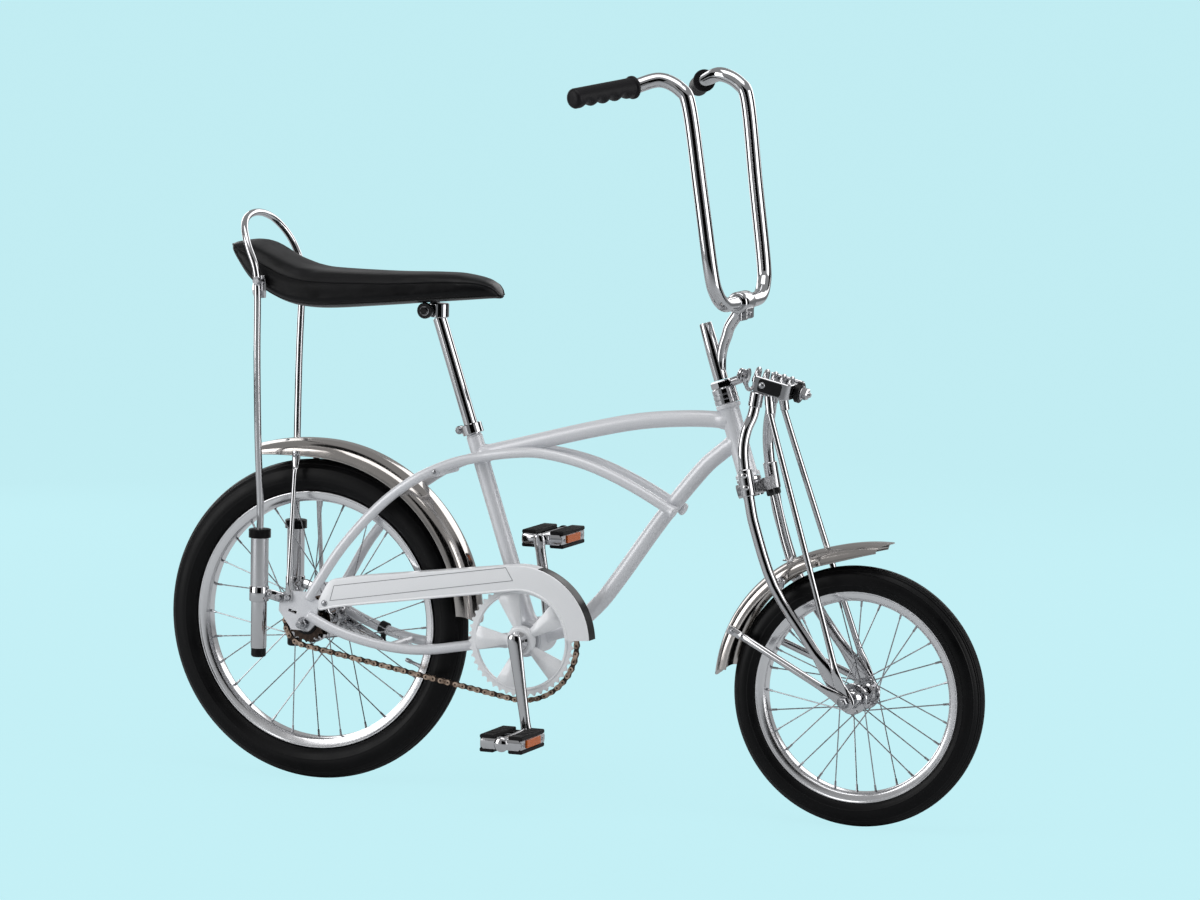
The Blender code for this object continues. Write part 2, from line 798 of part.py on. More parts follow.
def make_rear_fender(pivots):
    place(pivots, "rear_fender", fender_shell(**REAR_FENDER), "chrome", smooth=50)
    face = REAR_FENDER["half_width"] + GAP
    outer = DROPOUT_FACE + DROPOUT_PLATE + GAP
    top = on_skirt(REAR_FENDER, 95.6, 0.0215)
    foot = REAR_AXLE + Vector((-0.0255, 0, 0.0400))
    flat, wide, round_half = 0.002, 0.006, 0.0033
    for name, hand in SIDES:
        rows = [
            (top.x, hand * (face + flat), top.z + 0.005, flat, wide),
            (top.x, hand * (face + flat), top.z - 0.009, flat, wide),
            (top.x + 0.0003, hand * (face + 0.0055), top.z - 0.028, round_half, round_half),
            (foot.x - 0.0003, hand * (outer + 0.001), foot.z + 0.026, round_half, round_half),
            (foot.x, hand * (outer + flat), foot.z + 0.008, flat, wide),
            (foot.x, hand * (outer + flat), foot.z - 0.007, flat, wide),
        ]
        place(pivots, "rear_fender_stay_" + name, swept(rows, 6), "chrome")


GUARD_OUTER = 0.117
GUARD_INNER = 0.079
GUARD_FLANGE = 0.024
GUARD_ENDS = [
    # outer x, outer z, inner x, inner z, flange depth
    (0.0270, 0.2950, 0.0265, 0.2815, 0.0016),
    (0.0340, 0.3090, 0.0300, 0.2790, 0.0016),
    (0.0465, 0.3260, 0.0400, 0.2815, 0.0016),
    (0.0711, 0.3313, 0.0661, 0.2873, 0.0016),
    (0.0761, 0.3321, 0.0711, 0.2881, GUARD_FLANGE),
]


def make_chain_guard(pivots):
    """A pressed strip from the dropout's ear round the chainring, its outer edge turned in."""
    centre_x = BRACKET_X + 0.0016
    centre_z = BRACKET_Z + 0.0018
    rows = list(GUARD_ENDS)
    outer = arc(centre_x, centre_z, GUARD_OUTER, 97, 4, 14)
    inner = arc(centre_x, centre_z, GUARD_INNER, 96, 4, 14)
    for (x0, z0), (x1, z1) in zip(outer, inner):
        rows.append((x0, z0, x1, z1, GUARD_FLANGE))
    sections = []
    back = GUARD_FACE - GUARD_SHEET
    for outer_x, outer_z, inner_x, inner_z, flange in rows:
        edge = Vector((outer_x, 0, outer_z))
        low = Vector((inner_x, 0, inner_z))
        under = edge + (low - edge).normalized() * GUARD_SHEET
        turned_in = GUARD_FACE + flange
        sections.append(
            [
                low + AXIS_Y * GUARD_FACE,
                low + AXIS_Y * back,
                edge + AXIS_Y * back,
                edge + AXIS_Y * turned_in,
                under + AXIS_Y * turned_in,
                under + AXIS_Y * GUARD_FACE,
            ]
        )
    place(pivots, "chain_guard", loft(sections), "silver_paint", smooth=30)


# Drive


def chain_route():
    """The chain's loop: its length, and a function from a distance to a point and its outward side."""
    rear_radius, front_radius = SPROCKET_PITCH_RADIUS, RING_PITCH_RADIUS
    span = Vector((BRACKET_X, 0, BRACKET_Z)) - REAR_AXLE
    distance = span.length
    slope = math.atan2(span.z, span.x)
    spread = math.asin((front_radius - rear_radius) / distance)
    run = distance * math.cos(spread)
    front_wrap = math.pi + 2 * spread
    rear_wrap = math.pi - 2 * spread
    top = slope + math.pi / 2 + spread
    low = slope - math.pi / 2 - spread
    lengths = [run, front_radius * front_wrap, run, rear_radius * rear_wrap]

    def on_wheel(centre, radius, angle):
        side = Vector((math.cos(angle), 0, math.sin(angle)))
        return centre + side * radius, side

    def at(travel):
        travel %= sum(lengths)
        if travel < lengths[0]:
            start, side = on_wheel(REAR_AXLE, rear_radius, top)
            end, _ = on_wheel(BRACKET, front_radius, top)
            return start.lerp(end, travel / run), side
        travel -= lengths[0]
        if travel < lengths[1]:
            return on_wheel(BRACKET, front_radius, top - travel / front_radius)
        travel -= lengths[1]
        if travel < lengths[2]:
            start, side = on_wheel(BRACKET, front_radius, low)
            end, _ = on_wheel(REAR_AXLE, rear_radius, low)
            return start.lerp(end, travel / run), side
        travel -= lengths[2]
        return on_wheel(REAR_AXLE, rear_radius, low - travel / rear_radius)

    return sum(lengths), at


def make_chain(pivots):
    length, at = chain_route()
    pairs = round(length / CHAIN_PITCH / 2)
    pitch = length / (2 * pairs)
    stations = [
        # place in a pair of links, width, height
        (0, CHAIN_OUTER_WIDTH, CHAIN_PIN_HEIGHT),
        (pitch, CHAIN_OUTER_WIDTH, CHAIN_PIN_HEIGHT),
        (1.50 * pitch, CHAIN_INNER_WIDTH, 0.72 * CHAIN_PIN_HEIGHT),
    ]
    sections = []
    for pair in range(pairs):
        for offset, width, height in stations:
            point, side = at(pair * 2 * pitch + offset)
            middle = point + AXIS_Y * CHAIN_LINE
            corners = ((-1, -1), (1, -1), (1, 1), (-1, 1))
            sections.append([middle + AXIS_Y * a * width / 2 + side * b * height / 2 for a, b in corners])
    place(pivots, "chain", loft(sections, closed=True), "bronze_steel", smooth=20)


def toothed(centre, teeth, pitch_radius, near, far):
    """A toothed disc: its tips run just inside the chain, whose links are chords of the pitch circle."""
    tip = pitch_radius * math.cos(math.pi / teeth) - CHAIN_PIN_HEIGHT / 2 - GAP
    root = tip - 0.0045
    outline = []
    for i in range(teeth):
        for share, radius in ((0.0, root), (0.5, tip)):
            angle = 2 * math.pi * (i + share) / teeth
            outline.append((centre.x + radius * math.cos(angle), centre.z + radius * math.sin(angle)))
    return plate(outline, near, far)


RING_ARM_ANGLES = (36, 108, 180, 252, 324)


def make_chainring(pivots):
    near = CHAIN_LINE + 0.0012
    far = CHAIN_LINE - 0.0012
    ring = place(
        pivots,
        "chainring",
        toothed(BRACKET, RING_TEETH, RING_PITCH_RADIUS, near, far),
        "silver_paint",
        "crank",
        smooth=30,
    )
    windows = []
    for angle in RING_ARM_ANGLES:
        middle = angle + 36
        outline = arc(BRACKET_X, BRACKET_Z, 0.073, middle - 19, middle + 19, 4)
        outline += arc(BRACKET_X, BRACKET_Z, 0.026, middle + 12, middle - 12, 1)
        windows.append(plate(outline, 0.01 + near, far - 0.01))
    hub = turned(
        [(-0.010, 0.024), (0.004, 0.024), (0.004, 0.012), (-0.010, 0.012)],
        BRACKET + AXIS_Y * CHAIN_LINE,
        AXIS_Y,
        16,
    )
    weld(ring, hub)
    carve(ring, *windows, rod(BRACKET, BRACKET - AXIS_Y * 0.08, SPINDLE_RADIUS + GAP, 12))


def make_rear_sprocket(pivots):
    near = CHAIN_LINE + 0.0012
    far = CHAIN_LINE - 0.0012
    sprocket = place(
        pivots,
        "rear_sprocket",
        toothed(REAR_AXLE, SPROCKET_TEETH, SPROCKET_PITCH_RADIUS, near, far),
        "bronze_steel",
        "rear_sprocket",
        smooth=30,
    )
    weld(
        sprocket,
        turned(
            [(0.007, 0.019), (0.007, 0.006), (-0.004, 0.006), (-0.004, 0.019)],
            REAR_AXLE + AXIS_Y * CHAIN_LINE,
            AXIS_Y,
            12,
        ),
    )
    carve(sprocket, rod(REAR_AXLE - AXIS_Y * 0.09, REAR_AXLE, AXLE_RADIUS + RUNNING, 12))


ARM_WIDTHS = [
    # share of the way to the pedal, half width
    (-0.09, 0.006),
    (-0.05, 0.0115),
    (0.15, 0.0110),
    (0.85, 0.0082),
    (1.03, 0.0100),
    (1.07, 0.006),
]


def make_crank(pivots):
    """One bar: right arm, spindle and left arm."""
    boss = CRANK_ARM_Y
    root = BRACKET
    spindle = rod(root - AXIS_Y * (boss + 0.004), root + AXIS_Y * (boss + 0.004), SPINDLE_RADIUS, 12)
    crank = place(pivots, "crank", spindle, "chrome", "crank")
    pieces = []
    for end, hand in ((RIGHT_PEDAL, -1), (LEFT_PEDAL, 1)):
        down = (end - root).normalized()
        start = root + AXIS_Y * hand * boss
        rows = []
        for share, wide in ARM_WIDTHS:
            point = start + down * CRANK_LENGTH * share
            rows.append((*point, CRANK_ARM_HALF, wide))
        pieces.append(swept(rows, 8))
    weld(crank, *pieces)
    holes = []
    for end, hand in ((RIGHT_PEDAL, -1), (LEFT_PEDAL, 1)):
        holes.append(rod(end + AXIS_Y * hand * 0.06, end + AXIS_Y * hand * 0.11, PEDAL_THREAD + GAP, 12))
    carve(crank, *holes)


CAGE_CORNERS = [
    # share of the half length fore and aft, share of the half height
    (-1, -0.45),
    (-0.86, -1),
    (0.86, -1),
    (1, -0.45),
    (1, 0.45),
    (0.86, 1),
    (-0.86, 1),
    (-1, 0.45),
]


def make_pedals(pivots):
    for name, hand in SIDES:
        centre = RIGHT_PEDAL if hand < 0 else LEFT_PEDAL
        body = "pedal_" + name
        inner = CRANK_ARM_Y + CRANK_ARM_HALF + 0.004
        outer = inner + PEDAL_LENGTH
        cage_sheet = 0.003
        start = centre + AXIS_Y * hand * (CRANK_ARM_Y - 0.004)
        cage = place(
            pivots,
            "pedal_cage_" + name,
            rod(start, centre + AXIS_Y * hand * (outer + 0.004), PEDAL_THREAD, 12),
            "chrome",
            body,
        )
        pieces = [rod(centre + AXIS_Y * hand * inner, centre + AXIS_Y * hand * outer, 0.0105, 12)]
        half = PEDAL_WIDTH / 2
        tall = (PEDAL_THICK - 0.004) / 2
        outline = [(centre.x + half * ahead, centre.z + tall * up) for ahead, up in CAGE_CORNERS]
        for y in (inner, outer - cage_sheet):
            pieces.append(plate(outline, hand * y, hand * (y + cage_sheet)))
        weld(cage, *pieces)
        near = inner + cage_sheet + GAP
        far = outer - cage_sheet - GAP
        tread_half = 0.0105
        for place_name, way in (("rear", -1), ("front", 1)):
            mid_x = centre.x + way * (half - tread_half - 0.001)
            tread = block(
                (mid_x - tread_half, min(hand * near, hand * far), centre.z - PEDAL_THICK / 2),
                (mid_x + tread_half, max(hand * near, hand * far), centre.z + PEDAL_THICK / 2),
            )
            bmesh.ops.bevel(tread, geom=tread.edges[:], offset=0.003, segments=1, affect="EDGES")
            place(pivots, "pedal_tread_" + place_name + "_" + name, tread, "black_rubber", body, smooth=0)


BRAKE_CLIP_X = 0.0875
BRAKE_ARM_Y = 0.0485
BRAKE_ARM_HALF = 0.0015
BRAKE_ARM_ROWS = [
    # x, height above the axle, half depth
    (-0.012, 0.004, 0.005),
    (-0.008, 0.0025, 0.011),
    (0.010, -0.0035, 0.012),
    (0.084, -0.0375, 0.008),
    (0.090, -0.0395, 0.004),
]


def make_brake_arm(pivots):
    rows = [(x, BRAKE_ARM_Y, REAR_AXLE.z + up, BRAKE_ARM_HALF, deep) for x, up, deep in BRAKE_ARM_ROWS]
    arm = place(pivots, "brake_arm", swept(rows, 8), "chrome", smooth=0)
    carve(arm, rod(REAR_AXLE, REAR_AXLE + AXIS_Y * 0.08, AXLE_RADIUS + GAP, 12))
    sides = 14
    centre, along = on_line(CHAIN_STAY_LINE, BRAKE_CLIP_X)
    bore = (STAY_RADIUS + GAP) / math.cos(math.pi / sides)
    band = [(-0.006, bore + 0.0025), (0.006, bore + 0.0025), (0.006, bore), (-0.006, bore)]
    clip = place(pivots, "brake_clip", turned(band, centre, along, sides), "black_enamel")
    face = BRAKE_ARM_Y + BRAKE_ARM_HALF + GAP
    low = (centre.x - 0.004, face, centre.z - 0.027)
    high = (centre.x + 0.004, face + 0.0032, centre.z - bore - 0.0012)
    weld(clip, block(low, high))


# Steering pieces


def make_headset(pivots):
    """Steerer, races and locknut in one turned piece, with the lug that anchors the spring."""
    under = -HEAD_LENGTH - RUNNING
    profile = [
        (under - 0.030, 0),
        (under - 0.030, STEERER_RADIUS + 0.004),
        (under - 0.006, STEERER_RADIUS + 0.004),
        (under - 0.006, HEAD_RADIUS + 0.0035),
        (under, HEAD_RADIUS + 0.0035),
        (under, STEERER_RADIUS),
        (RUNNING, STEERER_RADIUS),
        (RUNNING, HEAD_RADIUS + 0.0035),
        (0.008, HEAD_RADIUS + 0.0035),
        (0.012, HEAD_RADIUS + 0.001),
        (0.024, HEAD_RADIUS + 0.001),
        (0.024, HEAD_RADIUS + 0.002),
        (0.037, HEAD_RADIUS + 0.002),
        (0.038, HEAD_RADIUS),
        (0.038, 0),
    ]
    headset = place(pivots, "headset", turned(profile, HEAD_TOP, STEER_UP, 10), "chrome", "steering")
    lug = on_steering(0.030, HEAD_RADIUS - 0.002)
    tip = SPRING_REAR - SPRING_AXIS * (GAP + 0.003)
    weld(headset, rod(lug, tip, 0.0075, 8), rod(tip, SPRING_REAR - SPRING_AXIS * GAP, 0.014, 12))


SPRING_REAR = Vector((0.712, 0, 0.6765))
SPRING_FRONT = Vector((0.786, 0, 0.6600))
SPRING_AXIS = (SPRING_FRONT - SPRING_REAR).normalized()
SPRING_WIRE = 0.0032
SPRING_RADIUS = 0.0175
SPRING_TURNS = 5
SPRING_DOWN = Vector((SPRING_AXIS.z, 0, -SPRING_AXIS.x))
YOKE_HALF = 0.036
YOKE_TALL = 0.012
YOKE_SHEET = 0.004


def make_spring(pivots):
    steps = 8
    first, second = square_to(SPRING_AXIS)
    length = (SPRING_FRONT - SPRING_REAR).length - 2 * (SPRING_WIRE + GAP)
    start = SPRING_REAR + SPRING_AXIS * (SPRING_WIRE + GAP)
    sections = []
    total = SPRING_TURNS * steps
    for i in range(total + 1):
        angle = 2 * math.pi * i / steps
        out = first * math.cos(angle) + second * math.sin(angle)
        middle = start + SPRING_AXIS * length * i / total + out * SPRING_RADIUS
        section = []
        for k in range(4):
            turn = 2 * math.pi * k / 4
            section.append(middle + (out * math.cos(turn) + SPRING_AXIS * math.sin(turn)) * SPRING_WIRE)
        sections.append(section)
    place(pivots, "fork_spring", loft(sections), "chrome", "steering", smooth=70)


def make_spring_yoke(pivots):
    """The strap round the spring: two side arms, a front plate and the spring's bolt with its nut."""
    front = SPRING_FRONT + SPRING_AXIS * GAP
    arm = -0.052
    round_off = 0.006
    strap = [
        # outer: along, across; inner: along, across
        (arm, YOKE_HALF, arm, YOKE_HALF - YOKE_SHEET),
        (YOKE_SHEET - round_off, YOKE_HALF, -0.001, YOKE_HALF - YOKE_SHEET),
        (YOKE_SHEET, YOKE_HALF - round_off, 0, YOKE_HALF - YOKE_SHEET - 0.001),
    ]
    strap += [(a, -b, c, -d) for a, b, c, d in reversed(strap)]
    sections = []
    for out_along, out_across, in_along, in_across in strap:
        section = []
        for along, across, drop in (
            (out_along, out_across, -YOKE_TALL),
            (out_along, out_across, YOKE_TALL),
            (in_along, in_across, YOKE_TALL),
            (in_along, in_across, -YOKE_TALL),
        ):
            section.append(front + SPRING_AXIS * along + AXIS_Y * across + SPRING_DOWN * drop)
        sections.append(section)
    yoke = place(pivots, "spring_yoke", loft(sections), "chrome", "steering", smooth=30)
    bolt = [
        (-0.068, 0),
        (-0.068, 0.0045),
        (YOKE_SHEET + 0.001, 0.0045),
        (YOKE_SHEET + 0.001, 0.016),
        (YOKE_SHEET + 0.009, 0.016),
        (YOKE_SHEET + 0.009, 0.0095),
        (YOKE_SHEET + 0.020, 0.0095),
        (YOKE_SHEET + 0.024, 0.005),
        (YOKE_SHEET + 0.024, 0),
    ]
    boss = [(-0.002, 0), (-0.002, 0.012), (YOKE_SHEET + 0.002, 0.012), (YOKE_SHEET + 0.002, 0)]
    weld(yoke, turned(boss, front, SPRING_AXIS, 10), turned(bolt, front, SPRING_AXIS, 10))


LEG_SPREAD = 0.056
FORK_LEG_LINE = [
    # x, y, z, half width across, half depth
    (0.7400, 0.0340, 0.6600, FORK_LEG_RADIUS, FORK_LEG_RADIUS),
    (0.7385, 0.0350, 0.6460, FORK_LEG_RADIUS, FORK_LEG_RADIUS),
    (0.7350, 0.0400, 0.6220, FORK_LEG_RADIUS, FORK_LEG_RADIUS),
    (0.7290, 0.0490, 0.6010, FORK_LEG_RADIUS, FORK_LEG_RADIUS),
    (0.7265, 0.0550, 0.5740, FORK_LEG_RADIUS, FORK_LEG_RADIUS),
    (0.7300, LEG_SPREAD, 0.5400, FORK_LEG_RADIUS, FORK_LEG_RADIUS),
    (0.7390, LEG_SPREAD, 0.4950, FORK_LEG_RADIUS, FORK_LEG_RADIUS),
    (0.7490, LEG_SPREAD, 0.4530, FORK_LEG_RADIUS, FORK_LEG_RADIUS),
    (0.7815, 0.0565, 0.3670, FORK_LEG_RADIUS, FORK_LEG_RADIUS),
    (0.8370, 0.0580, 0.2890, FORK_LEG_RADIUS, FORK_LEG_RADIUS),
    (0.8560, 0.0595, 0.2640, 0.0070, 0.0088),
    (0.8750, LEG_EYE_Y, 0.2380, 0.0030, 0.0120),
    (FRONT_AXLE.x - 0.010, LEG_EYE_Y, FRONT_AXLE.z + 0.015, LEG_EYE_HALF, 0.0125),
    (FRONT_AXLE.x + 0.003, LEG_EYE_Y, FRONT_AXLE.z - 0.004, LEG_EYE_HALF, 0.0115),
    (FRONT_AXLE.x + 0.008, LEG_EYE_Y, FRONT_AXLE.z - 0.011, LEG_EYE_HALF, 0.0060),
]


def yoke_room():
    """The space that the yoke takes, with what is above it, for the pieces that end under it."""
    front = SPRING_FRONT + SPRING_AXIS * GAP
    corners = [(-0.03, -0.09), (-0.03, 0.02), (YOKE_TALL + GAP, 0.02), (YOKE_TALL + GAP, -0.09)]
    sections = []
    for y in (-0.06, 0.06):
        sections.append([front + SPRING_AXIS * a + SPRING_DOWN * d + AXIS_Y * y for d, a in corners])
    return loft(sections)


def make_fork_legs(pivots):
    for name, hand in SIDES:
        rows = [(x, hand * y, z, wide, deep) for x, y, z, wide, deep in FORK_LEG_LINE]
        leg = place(pivots, "fork_leg_" + name, swept(rows, 8), "chrome", "steering")
        carve(
            leg,
            yoke_room(),
            rod(FRONT_AXLE, FRONT_AXLE + AXIS_Y * hand * 0.09, AXLE_RADIUS + GAP, 12),
        )


def make_fork_crown(pivots):
    """The forged bridge under the head tube that carries both legs."""
    under = -HEAD_LENGTH - RUNNING - 0.0062
    half = LEG_SPREAD - FORK_LEG_RADIUS - GAP
    centre = on_steering(under - 0.011, 0.008)
    sections = []
    for y in (-half, -0.020, 0.020, half):
        bulk = 0.6 if abs(y) == half else 1.0
        section = []
        for forward, up in ((-1, -1), (1, -1), (1, 1), (-1, 1)):
            spot = centre + STEER_FORWARD * forward * 0.024 * bulk + STEER_UP * up * 0.0105 * bulk
            section.append(spot + AXIS_Y * y)
        sections.append(section)
    crown = place(pivots, "fork_crown", loft(sections), "chrome", "steering", smooth=0)
    steerer = rod(on_steering(-HEAD_LENGTH), on_steering(-HEAD_LENGTH - 0.06), STEERER_RADIUS + 0.004 + GAP, 18)
    carve(crown, steerer)


def make_truss_rods(pivots):
    for name, hand in SIDES:
        rows = [
            (0.7585, hand * 0.0310, 0.6430, TRUSS_RADIUS, TRUSS_RADIUS),
            (0.7600, hand * 0.0320, 0.6260, TRUSS_RADIUS, TRUSS_RADIUS),
            (0.8170, hand * 0.0455, 0.4530, TRUSS_RADIUS, TRUSS_RADIUS),
            (0.8740, hand * 0.0600, 0.2810, TRUSS_RADIUS, TRUSS_RADIUS),
            (0.8860, hand * 0.0680, 0.2450, 0.0035, 0.0060),
            (FRONT_AXLE.x - 0.006, hand * TRUSS_EYE_Y, FRONT_AXLE.z + 0.015, EYE_HALF, 0.0100),
            (FRONT_AXLE.x + 0.004, hand * TRUSS_EYE_Y, FRONT_AXLE.z - 0.012, EYE_HALF, 0.0080),
        ]
        strut = place(pivots, "truss_rod_" + name, swept(rows, 8), "chrome", "steering")
        carve(
            strut,
            yoke_room(),
            rod(FRONT_AXLE, FRONT_AXLE + AXIS_Y * hand * 0.09, AXLE_RADIUS + GAP, 12),
        )


def make_front_axle(pivots):
    nut = 0.0085
    outer = BRACE_EYE_Y + EYE_HALF + GAP
    end = outer + 0.012
    profile = [(-end, 0), (-end, AXLE_RADIUS), (-outer - 0.008, AXLE_RADIUS), (-outer - 0.008, nut)]
    profile += [(-outer, nut), (-outer, AXLE_RADIUS), (outer, AXLE_RADIUS), (outer, nut)]
    profile += [(outer + 0.008, nut), (outer + 0.008, AXLE_RADIUS), (end, AXLE_RADIUS), (end, 0)]
    place(pivots, "front_axle", turned(profile, FRONT_AXLE, AXIS_Y, 10), "chrome", "steering", smooth=20)


def make_front_fender(pivots):
    place(pivots, "front_fender", fender_shell(**FRONT_FENDER), "chrome", "steering", smooth=50)
    face = FRONT_FENDER["half_width"] + GAP
    top = on_skirt(FRONT_FENDER, 155.4, 0.0095)
    flat = 0.002
    for name, hand in SIDES:
        rows = [
            (top.x - 0.001, hand * (face + flat), top.z + 0.001, flat, 0.006),
            (top.x + 0.013, hand * (face + flat), top.z - 0.005, flat, 0.006),
            (0.740, hand * 0.040, 0.277, 0.0042, 0.0060),
            (0.850, hand * 0.0665, 0.228, 0.0042, 0.0060),
            (0.868, hand * BRACE_EYE_Y, 0.219, 0.0035, 0.0060),
            (FRONT_AXLE.x - 0.012, hand * BRACE_EYE_Y, FRONT_AXLE.z + 0.007, EYE_HALF, 0.0090),
            (FRONT_AXLE.x + 0.007, hand * BRACE_EYE_Y, FRONT_AXLE.z - 0.004, EYE_HALF, 0.0080),
        ]
        brace = place(pivots, "front_fender_brace_" + name, swept(rows, 8), "chrome", "steering")
        carve(brace, rod(FRONT_AXLE, FRONT_AXLE + AXIS_Y * hand * 0.09, AXLE_RADIUS + GAP, 12))


def make_stem(pivots):
    top = 0.128
    quill = rod(on_steering(0.038 + GAP), on_steering(top), BAR_RADIUS, 12)
    stem = place(pivots, "stem", quill, "chrome", "steering")
    rows = [
        (*on_steering(0.082), 0.011, 0.012),
        (*on_steering(0.092, 0.022), 0.010, 0.011),
        (0.690, 0, 0.760, 0.010, 0.010),
        (CLAMP_X, 0, CLAMP_Z - 0.004, 0.012, 0.010),
    ]
    clamp_start = Vector((CLAMP_X, -0.021, CLAMP_Z))
    weld(stem, swept(through(rows, 2), 8), rod(clamp_start, clamp_start + AXIS_Y * 0.042, 0.0168, 12))
    carve(stem, rod(clamp_start - AXIS_Y * 0.02, clamp_start + AXIS_Y * 0.062, BAR_RADIUS + 3 * GAP, 12))


GRIP_START = Vector((0.574, 0.150, 1.118))
GRIP_AXIS = Vector((-0.052, 0.111, -0.015)).normalized()
BAR_LINE = [
    # x, y, z
    (CLAMP_X, 0.0, CLAMP_Z),
    (CLAMP_X, 0.030, CLAMP_Z),
    (CLAMP_X, 0.052, CLAMP_Z),
    (CLAMP_X, 0.080, CLAMP_Z + 0.003),
    (0.6960, 0.103, 0.810),
    (0.6910, 0.115, 0.844),
    (0.6730, 0.120, 0.966),
    (0.6550, 0.126, 1.088),
    (0.6400, 0.127, 1.116),
    (0.6080, 0.130, 1.129),
    (GRIP_START.x, GRIP_START.y, GRIP_START.z),
]


def make_handlebar(pivots):
    end = GRIP_START + GRIP_AXIS * (GRIP_LENGTH - 0.006)
    half = through(BAR_LINE[:3], 1)[:-1] + through(BAR_LINE[2:7], 2)[:-1] + through(BAR_LINE[6:], 2)
    half.append(tuple(GRIP_START + GRIP_AXIS * 0.004))
    half.append(tuple(end))
    rows = [(x, y, z, BAR_RADIUS, BAR_RADIUS) for x, y, z in mirrored(half)]
    place(pivots, "handlebar", swept(rows, 8, Vector((1, 0, 0))), "chrome", "steering")


def make_grips(pivots):
    bore = BAR_RADIUS + 2 * GAP
    for name, hand in SIDES:
        start = Vector((GRIP_START.x, hand * GRIP_START.y, GRIP_START.z))
        axis = Vector((GRIP_AXIS.x, hand * GRIP_AXIS.y, GRIP_AXIS.z))
        profile = [
            (GRIP_LENGTH - 0.005, 0),
            (GRIP_LENGTH - 0.005, bore),
            (0.008, bore),
            (0.008, GRIP_RADIUS + 0.002),
            (0.014, GRIP_RADIUS + 0.002),
            (0.018, GRIP_RADIUS),
            (GRIP_LENGTH - 0.010, GRIP_RADIUS),
            (GRIP_LENGTH, GRIP_RADIUS - 0.004),
            (GRIP_LENGTH, 0),
        ]
        place(pivots, "grip_" + name, turned(profile, start, axis, 12), "black_rubber", "steering")


# Wheels


def make_tyre(pivots, name, axle, radius, width, rim_radius, rim_width, sides):
    section = width / 2
    middle = radius - section
    bead = rim_width / 2 - RIM_WALL - GAP
    drop = rim_radius + 2 * GAP
    start = math.asin((drop - middle) / section)
    profile = []
    steps = 5
    for i in range(steps + 1):
        angle = start + (math.pi - 2 * start) * i / steps
        profile.append((section * math.cos(angle), middle + section * math.sin(angle)))
    bed = rim_radius - RIM_BED + GAP
    profile += [(-bead, drop), (-bead, bed), (bead, bed), (bead, drop)]
    tyre = turned(profile, axle, AXIS_Y, sides)
    place(pivots, name + "_tyre", tyre, "black_rubber", name + "_wheel", smooth=60)


def make_wire_wheel(pivots, name, axle, rim_radius, rim_width, sides, hub_half, flange_radius, barrel):
    """Rim, spokes and hub laced into one piece."""
    half = rim_width / 2
    bed = rim_radius - RIM_BED
    inside = rim_radius - RIM_DEPTH
    rim = [
        (half - RIM_WALL, rim_radius),
        (half, rim_radius),
        (0.72 * half, inside),
        (-0.72 * half, inside),
        (-half, rim_radius),
        (-half + RIM_WALL, rim_radius),
        (-half + RIM_WALL, bed),
        (half - RIM_WALL, bed),
    ]
    wheel = place(
        pivots,
        name + "_wire_wheel",
        turned(rim, axle, AXIS_Y, sides),
        "chrome",
        name + "_wheel",
    )
    bore = AXLE_RADIUS + RUNNING
    flange_y = hub_half - 0.008
    hub = [
        (-hub_half, 0.012),
        (-flange_y - 0.0018, 0.014),
        (-flange_y - 0.0018, flange_radius),
        (-flange_y + 0.0018, flange_radius),
        (-flange_y + 0.0018, barrel),
        (flange_y - 0.0018, barrel),
        (flange_y - 0.0018, flange_radius),
        (flange_y + 0.0018, flange_radius),
        (flange_y + 0.0018, 0.014),
        (hub_half, 0.012),
        (hub_half, bore),
        (-hub_half, bore),
    ]
    tools = [turned(hub, axle, AXIS_Y, 10)]
    for i in range(SPOKES):
        hand = 1 if i % 2 else -1
        lean = 1 if (i // 2) % 2 else -1
        rim_angle = 2 * math.pi * i / SPOKES
        hub_angle = rim_angle + lean * math.radians(62)
        hole = flange_radius - 0.004
        side_y = hand * (flange_y + 0.0017 * lean)
        start = axle + Vector((hole * math.cos(hub_angle), side_y, hole * math.sin(hub_angle)))
        reach = inside + 0.003
        end = axle + Vector((reach * math.cos(rim_angle), hand * 0.004, reach * math.sin(rim_angle)))
        tools.append(rod(start, end, SPOKE_RADIUS, 3))
    weld(wheel, *tools)


WHEELS = [
    # name, axle, tyre radius, tyre width, rim radius, rim width, sides
    ("rear", REAR_AXLE, REAR_TYRE_RADIUS, REAR_TYRE_WIDTH, REAR_RIM_RADIUS, REAR_RIM_WIDTH, 32),
    ("front", FRONT_AXLE, FRONT_TYRE_RADIUS, FRONT_TYRE_WIDTH, FRONT_RIM_RADIUS, FRONT_RIM_WIDTH, 28),
]
HUBS = {
    # half length, flange radius, barrel radius
    "rear": (REAR_HUB_HALF, 0.034, 0.022),
    "front": (FRONT_HUB_HALF, 0.024, 0.014),
}


def make_wheels(pivots):
    for name, axle, radius, width, rim_radius, rim_width, sides in WHEELS:
        make_tyre(pivots, name, axle, radius, width, rim_radius, rim_width, sides)
        make_wire_wheel(pivots, name, axle, rim_radius, rim_width, sides, *HUBS[name])


